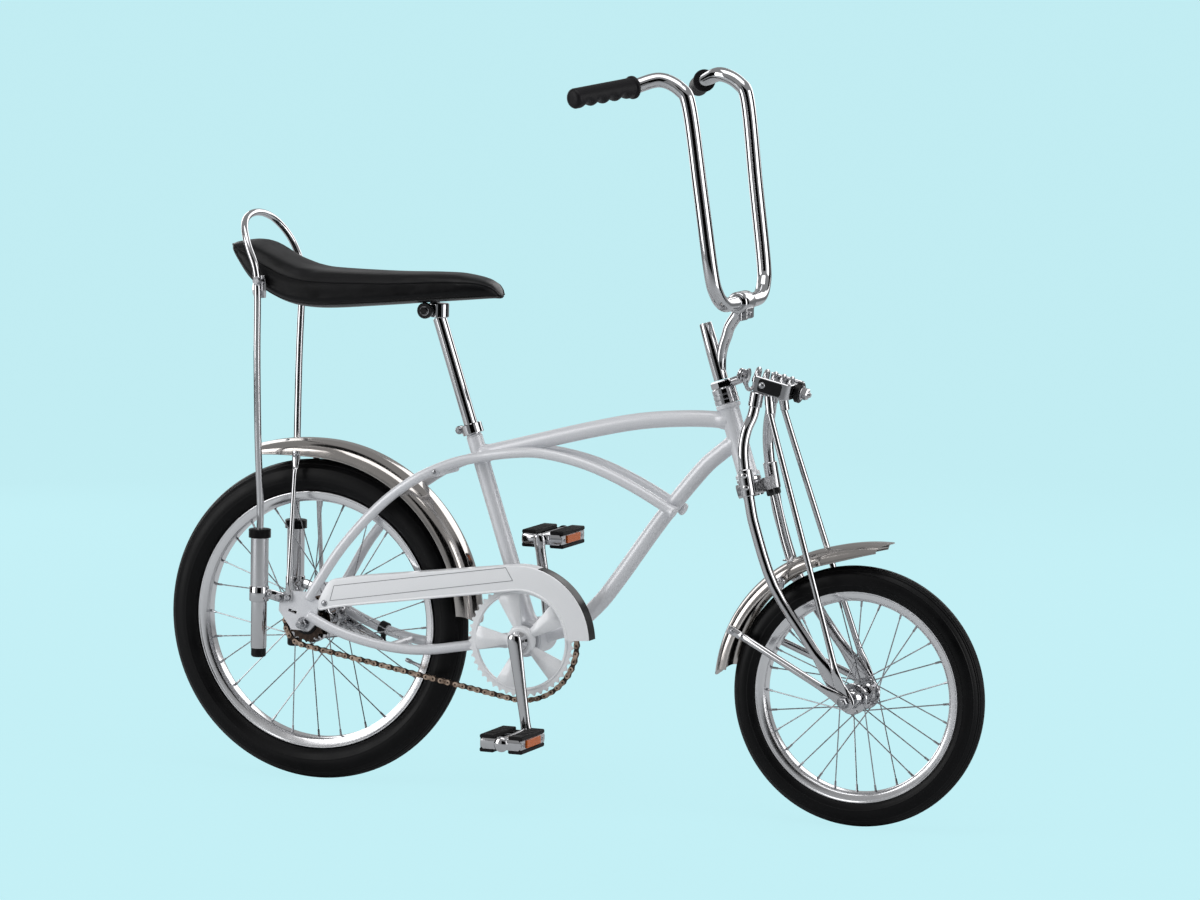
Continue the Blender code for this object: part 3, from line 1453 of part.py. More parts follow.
def main():
    clear_scene()
    pivots = make_pivots()
    make_head_tube(pivots)
    make_main_tubes(pivots)
    make_bottom_bracket(pivots)
    make_stays(pivots)
    make_dropouts(pivots)
    make_rear_axle(pivots)
    make_seat_post(pivots)
    make_saddle(pivots)
    make_saddle_clamp(pivots)
    make_sissy_bar(pivots)
    make_shocks(pivots)
    make_rear_fender(pivots)
    make_chain_guard(pivots)
    make_chain(pivots)
    make_chainring(pivots)
    make_rear_sprocket(pivots)
    make_crank(pivots)
    make_pedals(pivots)
    make_brake_arm(pivots)
    make_headset(pivots)
    make_spring(pivots)
    make_spring_yoke(pivots)
    make_fork_legs(pivots)
    make_fork_crown(pivots)
    make_truss_rods(pivots)
    make_front_axle(pivots)
    make_front_fender(pivots)
    make_stem(pivots)
    make_handlebar(pivots)
    make_grips(pivots)
    make_wheels(pivots)


main()
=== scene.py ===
"""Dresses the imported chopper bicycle: tubes, laced wheels, a chain of links, a padded saddle and a studio.

Lengths are metres in the bicycle's own frame: X forward from the rear axle, Y to the rider's left and Z up
from the ground. Each piece is moved by RIDER, the rider's place on the saddle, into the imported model's frame.
"""

import math

import bmesh
import bpy
from mathutils import Matrix, Vector


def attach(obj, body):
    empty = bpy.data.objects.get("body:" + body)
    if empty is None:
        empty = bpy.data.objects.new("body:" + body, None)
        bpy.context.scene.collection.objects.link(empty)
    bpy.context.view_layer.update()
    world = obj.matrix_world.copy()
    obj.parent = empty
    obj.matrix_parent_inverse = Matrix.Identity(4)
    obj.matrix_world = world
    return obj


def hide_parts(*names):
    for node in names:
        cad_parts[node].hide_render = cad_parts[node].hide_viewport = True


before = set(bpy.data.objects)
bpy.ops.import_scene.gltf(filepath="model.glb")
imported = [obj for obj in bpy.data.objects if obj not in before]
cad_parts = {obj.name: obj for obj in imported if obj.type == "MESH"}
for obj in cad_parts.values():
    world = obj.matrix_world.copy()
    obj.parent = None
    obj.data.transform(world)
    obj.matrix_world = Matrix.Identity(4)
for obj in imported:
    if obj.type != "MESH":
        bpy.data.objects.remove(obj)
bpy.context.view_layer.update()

bl_info = {
    "name": "Chopper bicycle dressing", "version": (1, 0, 0), "blender": (4, 5, 0),
    "location": "3D View > Sidebar > Bicycle",
    "description": "Builds the finished look of the chopper bicycle round its packed solids",
    "category": "Object",
}

RIDER = Vector((0.11, 0, 0.808))
AXIS_X = Vector((1, 0, 0))
AXIS_Y = Vector((0, 1, 0))
AXIS_Z = Vector((0, 0, 1))
SIDES = (("right", -1), ("left", 1))

# Wheels
REAR_AXLE = Vector((0, 0, 0.254))
FRONT_AXLE = Vector((0.902, 0, 0.2))
WHEELS = {
    "rear": {
        "axle": REAR_AXLE, "tyre": 0.254, "tyre_width": 0.054, "rim": 0.204, "rim_width": 0.036,
        "hub_half": 0.036, "flange": 0.034, "barrel": 0.022, "valve": -19.8,
    },
    "front": {
        "axle": FRONT_AXLE, "tyre": 0.2, "tyre_width": 0.045, "rim": 0.1625, "rim_width": 0.031,
        "hub_half": 0.038, "flange": 0.024, "barrel": 0.014, "valve": 135,
    },
}
RIM_DEPTH = 0.016
RIM_WALL = 0.0025
RIM_BED = 0.0068
AXLE_RADIUS = 0.005

# Frame
HEAD_ANGLE = math.radians(72)
HEAD_TOP = Vector((0.68, 0, 0.634))
HEAD_LENGTH = 0.116
HEAD_RADIUS = 0.0155
STEER_UP = Vector((-math.cos(HEAD_ANGLE), 0, math.sin(HEAD_ANGLE)))
STEER_FORWARD = Vector((math.sin(HEAD_ANGLE), 0, math.cos(HEAD_ANGLE)))
TUBE_RADIUS = 0.0127
STAY_RADIUS = 0.008
BRACKET = Vector((0.3655, 0, 0.252))
BRACKET_RADIUS = 0.0275
BRACKET_HALF = 0.034
SEAT_ANGLE = math.radians(71.2)
SEAT_TUBE_TOP = 0.563
POST_TOP = 0.742
POST_RADIUS = 0.0108
DROPOUT_FACE = 0.0555
DROPOUT_PLATE = 0.005
SEAT_GAP = 0.0003
DROPOUT_OUTER = DROPOUT_FACE + DROPOUT_PLATE + SEAT_GAP

# Drive
CHAIN_PITCH = 0.0127
CHAIN_LINE = -0.048
RING_TEETH = 46
SPROCKET_TEETH = 18
RING_HALF = 0.0012
CRANK_LENGTH = 0.143
CRANK_LEAN = math.radians(9.3)
CRANK_DOWN = Vector((math.sin(CRANK_LEAN), 0, -math.cos(CRANK_LEAN)))
CRANK_ARM_Y = 0.074
PEDAL_LENGTH = 0.095
PEDAL_WIDTH = 0.068
PEDAL_THICK = 0.027

# Steering
SPRING_REAR = Vector((0.712, 0, 0.6765))
SPRING_FRONT = Vector((0.786, 0, 0.66))
SPRING_AXIS = (SPRING_FRONT - SPRING_REAR).normalized()
SPRING_DOWN = Vector((SPRING_AXIS.z, 0, -SPRING_AXIS.x))
CLAMP = Vector((0.6986, 0, 0.7906))
BAR_RADIUS = 0.0111
GRIP_START = Vector((0.574, 0.15, 1.118))
GRIP_AXIS = Vector((-0.052, 0.111, -0.015)).normalized()
GRIP_LENGTH = 0.126
TRUSS_EYE_Y = 0.0651
BRACE_EYE_Y = 0.069
SHOCK = Vector((-0.074, 0.067, 0.197))
SHOCK_TOP = 0.4

# The photograph's camera, in degrees, metres and pixels
CAMERA_AZIMUTH = 21.7043
CAMERA_ELEVATION = 6.5295
CAMERA_ROLL = 1.0968
CAMERA_AIM = (0.471547, 0, 0.55046)
CAMERA_DISTANCE = 8.144123
FOCAL_PIXELS = 5284.3
FRAME_PIXELS = 1200
SENSOR_WIDTH = 36


# Colours, nodes and finishes


def linear(code):
    """The linear colour of an sRGB hex code."""
    shares = [int(code[i : i + 2], 16) / 255 for i in (0, 2, 4)]
    return tuple(c / 12.92 if c <= 0.04045 else ((c + 0.055) / 1.055) ** 2.4 for c in shares)


def add_node(tree, kind, settings=None, values=None, sources=None, target=None):
    """Adds a node with its settings, socket values and links, and links its first output to the target."""
    node = tree.nodes.new(kind)
    for name, value in (settings or {}).items():
        setattr(node, name, value)
    for socket, value in (values or {}).items():
        node.inputs[socket].default_value = value
    for socket, source in (sources or {}).items():
        tree.links.new(source, node.inputs[socket])
    if target:
        tree.links.new(node.outputs[0], target)
    return node


def start_finish(name, colour, roughness, metallic=0.0, coat=0.0, specular=0.5):
    """A new material with its plain values, its object coordinates and its shader."""
    finish = bpy.data.materials.new(name)
    finish.use_nodes = True
    tree = finish.node_tree
    shader = tree.nodes["Principled BSDF"]
    finish.diffuse_color = (*linear(colour), 1)
    for socket, value in {
        "Base Color": (*linear(colour), 1), "Roughness": roughness, "Metallic": metallic,
        "Coat Weight": coat, "Coat Roughness": 0.06, "Specular IOR Level": specular,
    }.items():
        shader.inputs[socket].default_value = value
    place = add_node(tree, "ShaderNodeTexCoord")
    return finish, tree, shader, place.outputs["Object"]


def vary(tree, shader, factor, rough=None, colours=None, bump=None, stretch=(0.0, 1.0)):
    """Lets one pattern steer the roughness range, the blend of two colours and the relief in millimetres."""
    if rough:
        add_node(
            tree, "ShaderNodeMapRange",
            values={"From Min": stretch[0], "From Max": stretch[1], "To Min": rough[0], "To Max": rough[1]},
            sources={"Value": factor}, target=shader.inputs["Roughness"],
        )
    if colours:
        low, high = ((*linear(code), 1) for code in colours)
        spread = add_node(
            tree, "ShaderNodeMapRange", values={"From Min": stretch[0], "From Max": stretch[1]},
            sources={"Value": factor},
        )
        blend = add_node(
            tree, "ShaderNodeMix", settings={"data_type": "RGBA"}, values={"A": low, "B": high},
            sources={"Factor": spread.outputs["Result"]},
        )
        tree.links.new(blend.outputs["Result"], shader.inputs["Base Color"])
    if bump:
        strength, deep = bump
        add_node(
            tree, "ShaderNodeBump", values={"Strength": strength, "Distance": deep / 1000},
            sources={"Height": factor}, target=shader.inputs["Normal"],
        )


def noise(tree, place, cell_mm, detail=2):
    """A cloudy pattern with cells so many millimetres wide."""
    values = {"Scale": 1000 / cell_mm, "Detail": detail}
    return add_node(tree, "ShaderNodeTexNoise", values=values, sources={"Vector": place}).outputs["Fac"]


def chrome_plate(name="chrome_plate", colour="C9C9CB", lowest=0.035, highest=0.11):
    # Chromium plated on polished steel. The eye sees a mirror with a faint haze of handling,
    # and reflections that run slightly wavy over the pressed or drawn steel below.
    finish, tree, shader, place = start_finish(name, colour, lowest, 1.0)
    vary(tree, shader, noise(tree, place, 35, 5), rough=(lowest, highest), stretch=(0.3, 0.75))
    vary(tree, shader, noise(tree, place, 14, 1), bump=(0.16, 0.3))
    return finish


def silver_lacquer(name="silver_lacquer", colour="D0D2D7", flake="E8E9EC", metallic=0.2):
    # Aluminium flake enamel under a clear coat, sprayed. The eye sees a satin silver with a fine sparkle,
    # drawn at 0.7 mm where real flake is finer, and a slow orange peel in the clear coat.
    finish, tree, shader, place = start_finish(name, colour, 0.36, metallic, coat=0.35)
    vary(
        tree, shader, noise(tree, place, 0.7), rough=(0.3, 0.44), colours=(colour, flake),
        stretch=(0.3, 0.7),
    )
    vary(tree, shader, noise(tree, place, 4), bump=(0.12, 0.1))
    return finish


def tyre_rubber():
    # Carbon black rubber cured in a steel mould. The eye sees near black with a soft sheen on the shoulder,
    # dustier patches and a fine matt grain.
    finish, tree, shader, place = start_finish("tyre_rubber", "060607", 0.42, specular=0.16)
    vary(
        tree, shader, noise(tree, place, 50, 6), rough=(0.34, 0.52), colours=("040405", "0A0A0C"),
        stretch=(0.3, 0.7),
    )
    vary(tree, shader, noise(tree, place, 1.2, 3), bump=(0.3, 0.12))
    return finish


def moulded_black(name, colour, roughness, grain_mm, depth_mm):
    # Moulded black rubber or plastic. The eye sees a soft highlight broken by the mould's spark grain.
    finish, tree, shader, place = start_finish(name, colour, roughness, specular=0.2)
    vary(tree, shader, noise(tree, place, 20, 4), rough=(roughness - 0.08, roughness + 0.1))
    vary(tree, shader, noise(tree, place, grain_mm), bump=(0.5, depth_mm))
    return finish


def saddle_vinyl():
    # Calendered PVC on foam, embossed with a leather grain of 1.8 mm cells. The eye sees a satin black
    # that brightens towards the edges, with the cells' creases breaking the highlight.
    finish, tree, shader, place = start_finish("saddle_vinyl", "070709", 0.34, specular=0.2)
    cells = add_node(
        tree, "ShaderNodeTexVoronoi", settings={"feature": "DISTANCE_TO_EDGE"},
        values={"Scale": 1 / 0.0018, "Randomness": 1.0}, sources={"Vector": place},
    )
    creases = add_node(
        tree, "ShaderNodeMapRange", values={"From Max": 0.25}, sources={"Value": cells.outputs["Distance"]}
    )
    vary(tree, shader, creases.outputs["Result"], bump=(0.3, 0.12))
    vary(
        tree, shader, noise(tree, place, 60, 4), rough=(0.28, 0.42), colours=("050506", "0B0B0E"),
        stretch=(0.3, 0.7),
    )
    return finish


def bright_zinc():
    # Zinc plate on turned or pressed steel. The eye sees a soft grey mirror with cloudy spangle.
    finish, tree, shader, place = start_finish("bright_zinc", "A9AAAD", 0.26, 1.0)
    vary(
        tree, shader, noise(tree, place, 4, 4), rough=(0.16, 0.38), colours=("8E8F93", "BFC0C3"),
        stretch=(0.3, 0.7),
    )
    return finish


def bronzed_steel(name="bronzed_steel", low="6B584B", high="C4AE9C"):
    # Heat-browned steel plates with a film of oil. The eye sees dull bronze with darker oily patches.
    finish, tree, shader, place = start_finish(name, high, 0.4, 0.85)
    vary(tree, shader, noise(tree, place, 6, 5), rough=(0.28, 0.5), colours=(low, high), stretch=(0.3, 0.7))
    return finish


def black_enamel():
    # Stoved black enamel. The eye sees deep gloss with a slight ripple.
    finish, tree, shader, place = start_finish("black_enamel", "08080A", 0.22, coat=0.4, specular=0.3)
    vary(tree, shader, noise(tree, place, 6), rough=(0.16, 0.3), bump=(0.15, 0.1))
    return finish


def amber_acrylic():
    # Injection moulded acrylic over a corner-cube grid of 2.2 mm, under a clear gloss front. Each cell's colour
    # runs from light amber at its middle to dark brown at its rim: painted highlight and shade for the corner
    # cubes' flash.
    finish, tree, shader, place = start_finish("amber_acrylic", "C05A00", 0.2, coat=0.15, specular=0.3)
    cubes = add_node(
        tree, "ShaderNodeTexVoronoi", settings={"distance": "CHEBYCHEV"},
        values={"Scale": 1 / 0.0022, "Randomness": 0.15}, sources={"Vector": place},
    )
    # Colour by each cell's distance from its middle is painted highlight and shade; the same pattern also
    # drives a real bump.
    vary(tree, shader, cubes.outputs["Distance"], colours=("DC6A00", "6E2C00"), bump=(0.4, 0.2))
    return finish


def panel_ink():
    # Screen-printed outline on the chain guard. The eye sees a matt grey hairline.
    finish, tree, shader, place = start_finish("panel_ink", "85868C", 0.6)
    vary(
        tree, shader, noise(tree, place, 3, 3), rough=(0.5, 0.7), colours=("6A6B70", "94959A"),
        stretch=(0.3, 0.7),
    )
    return finish


FINISH_MAKERS = {
    "chrome": chrome_plate,
    "sheet": lambda: chrome_plate("chromed_sheet", "BDB8B4", 0.08, 0.2),
    "rim": lambda: chrome_plate("rolled_rim", "E4E4E6", 0.16, 0.26),
    "silver": silver_lacquer,
    # A whiter copy of the silver lacquer. On the chain guard, whose paint is the frame's, the whiter colour is
    # painted light for its flat lit face; on the chainring it is the die casting's own tone.
    "ring": lambda: silver_lacquer("die_casting_and_lit_guard_silver", "E4E6EA", "F6F7F8", 0.1),
    "tyre": tyre_rubber,
    "grip": lambda: moulded_black("grip_rubber", "121114", 0.46, 0.9, 0.1),
    "tread": lambda: moulded_black("pedal_rubber", "121113", 0.58, 1.2, 0.15),
    "cap": lambda: moulded_black("cap_plastic", "0C0C0E", 0.34, 0.6, 0.05),
    "vinyl": saddle_vinyl, "enamel": black_enamel, "zinc": bright_zinc, "bronze": bronzed_steel,
    # A darker copy of the bronzed steel, for the chain's inner plates and rollers, which sit between the outer
    # plates, and for the sprocket.
    "oiled": lambda: bronzed_steel("dark_bronzed_steel", "2B2420", "4A3D35"),
    "amber": amber_acrylic, "ink": panel_ink,
}
FINISHES = {}


def finish_of(key):
    """The finish by its short name, made when it is first asked for."""
    if key not in FINISHES:
        FINISHES[key] = FINISH_MAKERS[key]()
    return FINISHES[key]


# Meshes in the bicycle's own frame


def loft(sections, closed=False):
    """A skin over equal sections of points, capped at both ends unless it closes on itself."""
    bm = bmesh.new()
    rings = [[bm.verts.new(point) for point in section] for section in sections]
    pairs = list(zip(rings, rings[1:]))
    if closed:
        pairs.append((rings[-1], rings[0]))
    for first, second in pairs:
        count = len(first)
        for i in range(count):
            j = (i + 1) % count
            bm.faces.new((first[i], first[j], second[j], second[i]))
    if not closed:
        bm.faces.new(rings[0])
        bm.faces.new(rings[-1])
    bmesh.ops.recalc_face_normals(bm, faces=bm.faces)
    return bm


def square_to(axis):
    """Two unit vectors that are square to the axis and to each other."""
    helper = AXIS_Z if abs(axis.z) < 0.9 else AXIS_X
    first = axis.cross(helper).normalized()
    return first, axis.cross(first).normalized()


def turned(profile, centre, axis, sides):
    """A profile of (distance along the axis, radius) turned about it. Without a radius of 0 it is a ring."""
    first, second = square_to(axis)
    bm = bmesh.new()
    rings = []
    for along, radius in profile:
        middle = centre + axis * along
        if radius == 0:
            rings.append([bm.verts.new(middle)])
            continue
        ring = []
        for i in range(sides):
            angle = 2 * math.pi * i / sides
            out = first * math.cos(angle) + second * math.sin(angle)
            ring.append(bm.verts.new(middle + out * radius))
        rings.append(ring)
    pairs = list(zip(rings, rings[1:]))
    if all(radius > 0 for _, radius in profile):
        pairs.append((rings[-1], rings[0]))
    for one, two in pairs:
        for i in range(sides):
            j = (i + 1) % sides
            if len(one) == 1:
                bm.faces.new((one[0], two[j], two[i]))
            elif len(two) == 1:
                bm.faces.new((one[i], one[j], two[0]))
            else:
                bm.faces.new((one[i], one[j], two[j], two[i]))
    bmesh.ops.recalc_face_normals(bm, faces=bm.faces)
    return bm


def rod(start, end, radius, sides, edge=0.0):
    """A round bar between two points, its ends rounded by the edge."""
    axis = (end - start).normalized()
    length = (end - start).length
    profile = [
        (0, 0), (0, radius - edge), (edge, radius), (length - edge, radius), (length, radius - edge),
        (length, 0),
    ]
    if not edge:
        profile = [(0, 0), (0, radius), (length, radius), (length, 0)]
    return turned(profile, start, axis, sides)


def through(rows, steps):
    """Rows of numbers on a smooth curve through the given rows, with so many steps between two of them."""
    rows = [tuple(row) for row in rows]
    first = tuple(2 * a - b for a, b in zip(rows[0], rows[1]))
    last = tuple(2 * a - b for a, b in zip(rows[-1], rows[-2]))
    padded = [first, *rows, last]
    result = []
    for i in range(1, len(padded) - 2):
        for k in range(steps):
            t = k / steps
            row = []
            for p0, p1, p2, p3 in zip(*padded[i - 1 : i + 3]):
                bend = 2 * p0 - 5 * p1 + 4 * p2 - p3
                twist = 3 * p1 - p0 - 3 * p2 + p3
                row.append(0.5 * (2 * p1 + (p2 - p0) * t + bend * t * t + twist * t**3))
            result.append(tuple(row))
    result.append(rows[-1])
    return result


def swept(rows, sides, side=AXIS_Y):
    """A bar along rows of x, y, z, half width towards the side vector and half depth square to it."""
    points = [Vector(row[:3]) for row in rows]
    sections = []
    last = len(points) - 1
    for i, point in enumerate(points):
        ahead = points[min(i + 1, last)]
        behind = points[max(i - 1, 0)]
        tangent = (ahead - behind).normalized()
        side = (side - tangent * side.dot(tangent)).normalized()
        up = tangent.cross(side)
        wide, deep = rows[i][3], rows[i][4]
        stops = [(0.0, 1.0)]
        if i in (0, last):
            soft = min(wide, deep) * 0.35
            inward = 1 if i == 0 else -1
            stops = [(0.0, 0.8), (0.4 * soft, 0.94), (soft, 1.0)]
            if i == last:
                stops.reverse()
            stops = [(inward * push, share) for push, share in stops]
        for push, share in stops:
            section = []
            for k in range(sides):
                angle = 2 * math.pi * (k + 0.5) / sides
                across = side * wide * share * math.cos(angle)
                section.append(point + tangent * push + across + up * deep * share * math.sin(angle))
            sections.append(section)
    return loft(sections)


def on_side(rows, hand):
    """Rows that are given for the left side, as they are on the side asked for."""
    return [(x, hand * y, *rest) for x, y, *rest in rows]


def bent(rows, steps, sides, hand=1):
    """A bar on a smooth curve through rows that are given for the left side."""
    return swept(through(on_side(rows, hand), steps), sides)


def tube(points, radius, steps, sides, side):
    """A round tube of one radius on a smooth curve through the points."""
    rows = [(x, y, z, radius, radius) for x, y, z in points]
    return swept(through(rows, steps), sides, side)


def welded_tube(points, radius, start, end):
    """A tube with a fillet of weld where it meets a neighbour, so deep from its start or its end."""
    rows = through([(*point, radius, radius) for point in points], 4)
    fine = []
    for one, two in zip(rows, rows[1:]):
        parts = max(1, round((Vector(two[:3]) - Vector(one[:3])).length / 0.004))
        for k in range(parts):
            fine.append(tuple(a + (b - a) * k / parts for a, b in zip(one, two)))
    fine.append(rows[-1])
    travel = [0.0]
    for one, two in zip(fine, fine[1:]):
        travel.append(travel[-1] + (Vector(two[:3]) - Vector(one[:3])).length)
    grown = []
    for row, along in zip(fine, travel):
        swell = 0.0
        for depth, away in ((start, along), (end, travel[-1] - along)):
            if depth is not None:
                swell += 0.0022 * math.exp(-max(0.0, away - depth) / 0.0035)
        grown.append((*row[:3], row[3] + swell, row[4] + swell))
    return swept(grown, 28)


def plate(outline, near, far, edge=0.0):
    """A flat plate: an outline of (x, z) points between two places on Y, its rims rounded by the edge."""
    bm = loft([[Vector((x, y, z)) for x, z in outline] for y in (near, far)])
    if edge:
        rims = [e for e in bm.edges if abs(e.verts[0].co.y - e.verts[1].co.y) < 1e-7]
        bmesh.ops.bevel(bm, geom=rims, offset=edge, segments=2, profile=0.6, affect="EDGES")
    return bm


def block(low, high, edge=0.0):
    """A box between two corners with rounded edges."""
    (x0, y0, z0), (x1, y1, z1) = low, high
    bm = plate([(x0, z0), (x1, z0), (x1, z1), (x0, z1)], y0, y1)
    if edge:
        bmesh.ops.bevel(bm, geom=bm.edges[:], offset=edge, segments=3, affect="EDGES")
    return bm


def joined(*parts):
    """Several bodies in one mesh."""
    whole = parts[0]
    for part in parts[1:]:
        mesh = bpy.data.meshes.new("joining")
        part.to_mesh(mesh)
        part.free()
        whole.from_mesh(mesh)
        bpy.data.meshes.remove(mesh)
    return whole


def nut(centre, axis, radius, height, washer=0.0):
    """A hexagon nut with a chamfered top, on a washer if one is asked for."""
    parts = [
        turned(
            [(0, 0), (0, radius), (0.8 * height, radius), (height, 0.84 * radius), (height, 0)],
            centre + axis * (0.0012 if washer else 0),
            axis, 6,
        )
    ]
    if washer:
        parts.append(rod(centre, centre + axis * 0.0012, washer, 28, 0.0003))
    return joined(*parts)


def dome(centre, axis, radius, height, sides=20):
    """A domed screw or rivet head."""
    profile = [(0, 0), (0, radius)]
    for i in range(1, 6):
        angle = math.pi / 2 * i / 6
        profile.append((height * math.sin(angle), radius * math.cos(angle)))
    profile.append((height, 0))
    return turned(profile, centre, axis, sides)


def arc(centre_x, centre_z, radius, start, end, steps):
    """Points (x, z) on an arc; the angles are degrees from forward towards up."""
    points = []
    for i in range(steps + 1):
        angle = math.radians(start + (end - start) * i / steps)
        points.append((centre_x + radius * math.cos(angle), centre_z + radius * math.sin(angle)))
    return points


def outward(angle):
    """The direction away from a wheel's axle at an angle from forward towards up."""
    return Vector((math.cos(angle), 0, math.sin(angle)))


def on_steering(up, forward=0.0):
    """A point measured up the steering axis from the top of the head tube, and forward of it."""
    return HEAD_TOP + STEER_UP * up + STEER_FORWARD * forward


def on_seat_tube(z):
    """The point of the seat tube's centre line at a height."""
    return Vector((BRACKET.x - (z - BRACKET.z) / math.tan(SEAT_ANGLE), 0, z))


def in_frame(x, y, z):
    return Vector((x, y, z)) - RIDER


# Objects


def new_object(name, bm, material=None):
    """A mesh object in the scene, of a body that is used up."""
    mesh = bpy.data.meshes.new(name)
    bm.to_mesh(mesh)
    bm.free()
    if material:
        mesh.materials.append(material)
    obj = bpy.data.objects.new(name, mesh)
    bpy.context.scene.collection.objects.link(obj)
    return obj


def to_packed_frame(bm):
    """Moves a body from the bicycle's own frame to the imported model's."""
    bmesh.ops.translate(bm, verts=bm.verts, vec=-RIDER)
    bmesh.ops.recalc_face_normals(bm, faces=bm.faces)
    return bm


def add_piece(name, shape, finish, body, stands_for=(), crease=38):
    """A named piece, of one body or a list of them, that rides on a part of the bicycle."""
    bm = joined(*shape) if isinstance(shape, list) else shape
    obj = new_object(name, to_packed_frame(bm), finish_of(finish))
    obj.data.shade_smooth()
    obj.data.set_sharp_from_angle(angle=math.radians(crease))
    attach(obj, body)
    if stands_for:
        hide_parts(*stands_for)
    return obj


def dress_solid(node, finish, edge):
    """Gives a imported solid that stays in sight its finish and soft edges."""
    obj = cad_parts[node]
    obj.data.materials.clear()
    obj.data.materials.append(finish_of(finish))
    bevel = obj.modifiers.new("soft_edge", "BEVEL")
    bevel.width = edge
    bevel.segments = 2
    bevel.limit_method = "ANGLE"
    bevel.angle_limit = math.radians(40)


# Wheels


def tyre_relief(away, groove):
    """How far the tread and the wall stand out, by degrees away from the crown."""
    for line in (5, 11, 17, 23, 29):
        if abs(away - line) < 1.0:
            return -groove
    if 37 < away < 40:
        return -1.6 * groove
    if 58 < away < 61 or 100 < away < 103:
        return 0.9 * groove
    return 0.0


def build_tyres(sizes):
    for name, wheel in WHEELS.items():
        section = wheel["tyre_width"] / 2
        middle = wheel["tyre"] - section
        bead = wheel["rim_width"] / 2 - RIM_WALL
        lowest = math.asin((wheel["rim"] + 0.0004 - middle) / section)
        profile = []
        steps = 110
        for i in range(steps + 1):
            angle = lowest + (math.pi - 2 * lowest) * i / steps
            away = abs(math.degrees(angle) - 90)
            reach = section + tyre_relief(away, sizes.tread_groove)
            profile.append((reach * math.cos(angle), middle + reach * math.sin(angle)))
        bed = wheel["rim"] - RIM_BED + SEAT_GAP
        profile += [(-bead, wheel["rim"]), (-bead, bed), (bead, bed), (bead, wheel["rim"])]
        skin = turned(profile, wheel["axle"], AXIS_Y, 150)
        add_piece("tyre_" + name, skin, "tyre", name + "_wheel", [name + "_tyre"], crease=50)


def build_wheels(sizes):
    for name, wheel in WHEELS.items():
        axle = wheel["axle"]
        body = name + "_wheel"
        rim = wheel["rim"]
        half = wheel["rim_width"] / 2
        inside = rim - RIM_DEPTH
        bed = rim - RIM_BED
        half_profile = [
            # across, radius
            (half - RIM_WALL, rim - 0.0006), (half - 0.7 * RIM_WALL, rim), (half - 0.0004, rim),
            (half, rim - 0.0008), (half - 0.0001, rim - 0.002), (half - 0.0012, rim - 0.0034),
            (half - 0.0016, rim - 0.0104), (half - 0.0032, rim - 0.013), (0.62 * half, inside + 0.0014),
            (0.52 * half, inside + 0.0004), (0.3 * half, inside),
        ]
        profile = half_profile + [(-y, r) for y, r in reversed(half_profile)]
        profile += [(-half + RIM_WALL, bed), (half - RIM_WALL, bed)]
        node = [name + "_wire_wheel"]
        add_piece("rim_" + name, turned(profile, axle, AXIS_Y, 144), "rim", body, node, crease=30)

        hub_half = wheel["hub_half"]
        flange = wheel["flange"]
        barrel = wheel["barrel"]
        flange_y = hub_half - 0.008
        half_hub = [
            (hub_half, 0.0105), (hub_half - 0.0015, 0.012), (flange_y + 0.004, 0.0135),
            (flange_y + 0.0019, 0.015), (flange_y + 0.0018, flange - 0.0008), (flange_y + 0.001, flange),
            (flange_y - 0.001, flange), (flange_y - 0.0018, flange - 0.0008),
            (flange_y - 0.0022, barrel + 0.003), (flange_y - 0.005, barrel),
        ]
        bore = AXLE_RADIUS + 0.0006
        profile = half_hub + [(-y, r) for y, r in reversed(half_hub)]
        profile += [(-hub_half, bore), (hub_half, bore)]
        add_piece("hub_" + name, turned(profile, axle, AXIS_Y, 48), "chrome", body, node, crease=30)

        wires = []
        nipples = []
        hole = flange - 0.0035
        for i in range(sizes.spokes):
            hand = 1 if i % 2 else -1
            lean = 1 if (i // 2) % 2 else -1
            rim_angle = 2 * math.pi * i / sizes.spokes
            hub_angle = rim_angle + lean * math.radians(62)
            start = axle + Vector(
                (hole * math.cos(hub_angle), hand * (flange_y + 0.0026 * lean), hole * math.sin(hub_angle))
            )
            out = outward(rim_angle)
            end = axle + out * (inside + 0.001) + AXIS_Y * hand * 0.004
            along = (end - start).normalized()
            wires.append(rod(start, end, sizes.spoke_diameter / 2, 8))
            head = start + AXIS_Y * hand * lean * 0.0006
            wires.append(dome(head, AXIS_Y * hand * lean, 0.0021, 0.0011, 10))
            nipples.append(
                turned(
                    [
                        (0, 0), (0, 0.0023), (0.003, 0.0023), (0.0035, 0.0018), (0.012, 0.0017),
                        (0.0125, 0.001), (0.0125, 0),
                    ],
                    end + along * 0.001, -along, 8,
                )
            )
        add_piece("spokes_" + name, wires, "zinc", body, node, crease=30)
        add_piece("nipples_" + name, nipples, "zinc", body, node, crease=30)

        turn = math.radians(wheel["valve"])
        out = outward(turn)
        foot = axle + out * (inside + 0.0005)
        stem = turned(
            [
                (0, 0), (0, 0.0046), (0.003, 0.0042), (0.006, 0.003), (0.018, 0.0026), (0.019, 0.0034)
            ] + [(0.027, 0.0034), (0.029, 0.0026), (0.029, 0)],
            foot, -out, 16,
        )
        add_piece("valve_" + name, stem, "zinc", body)


# Frame

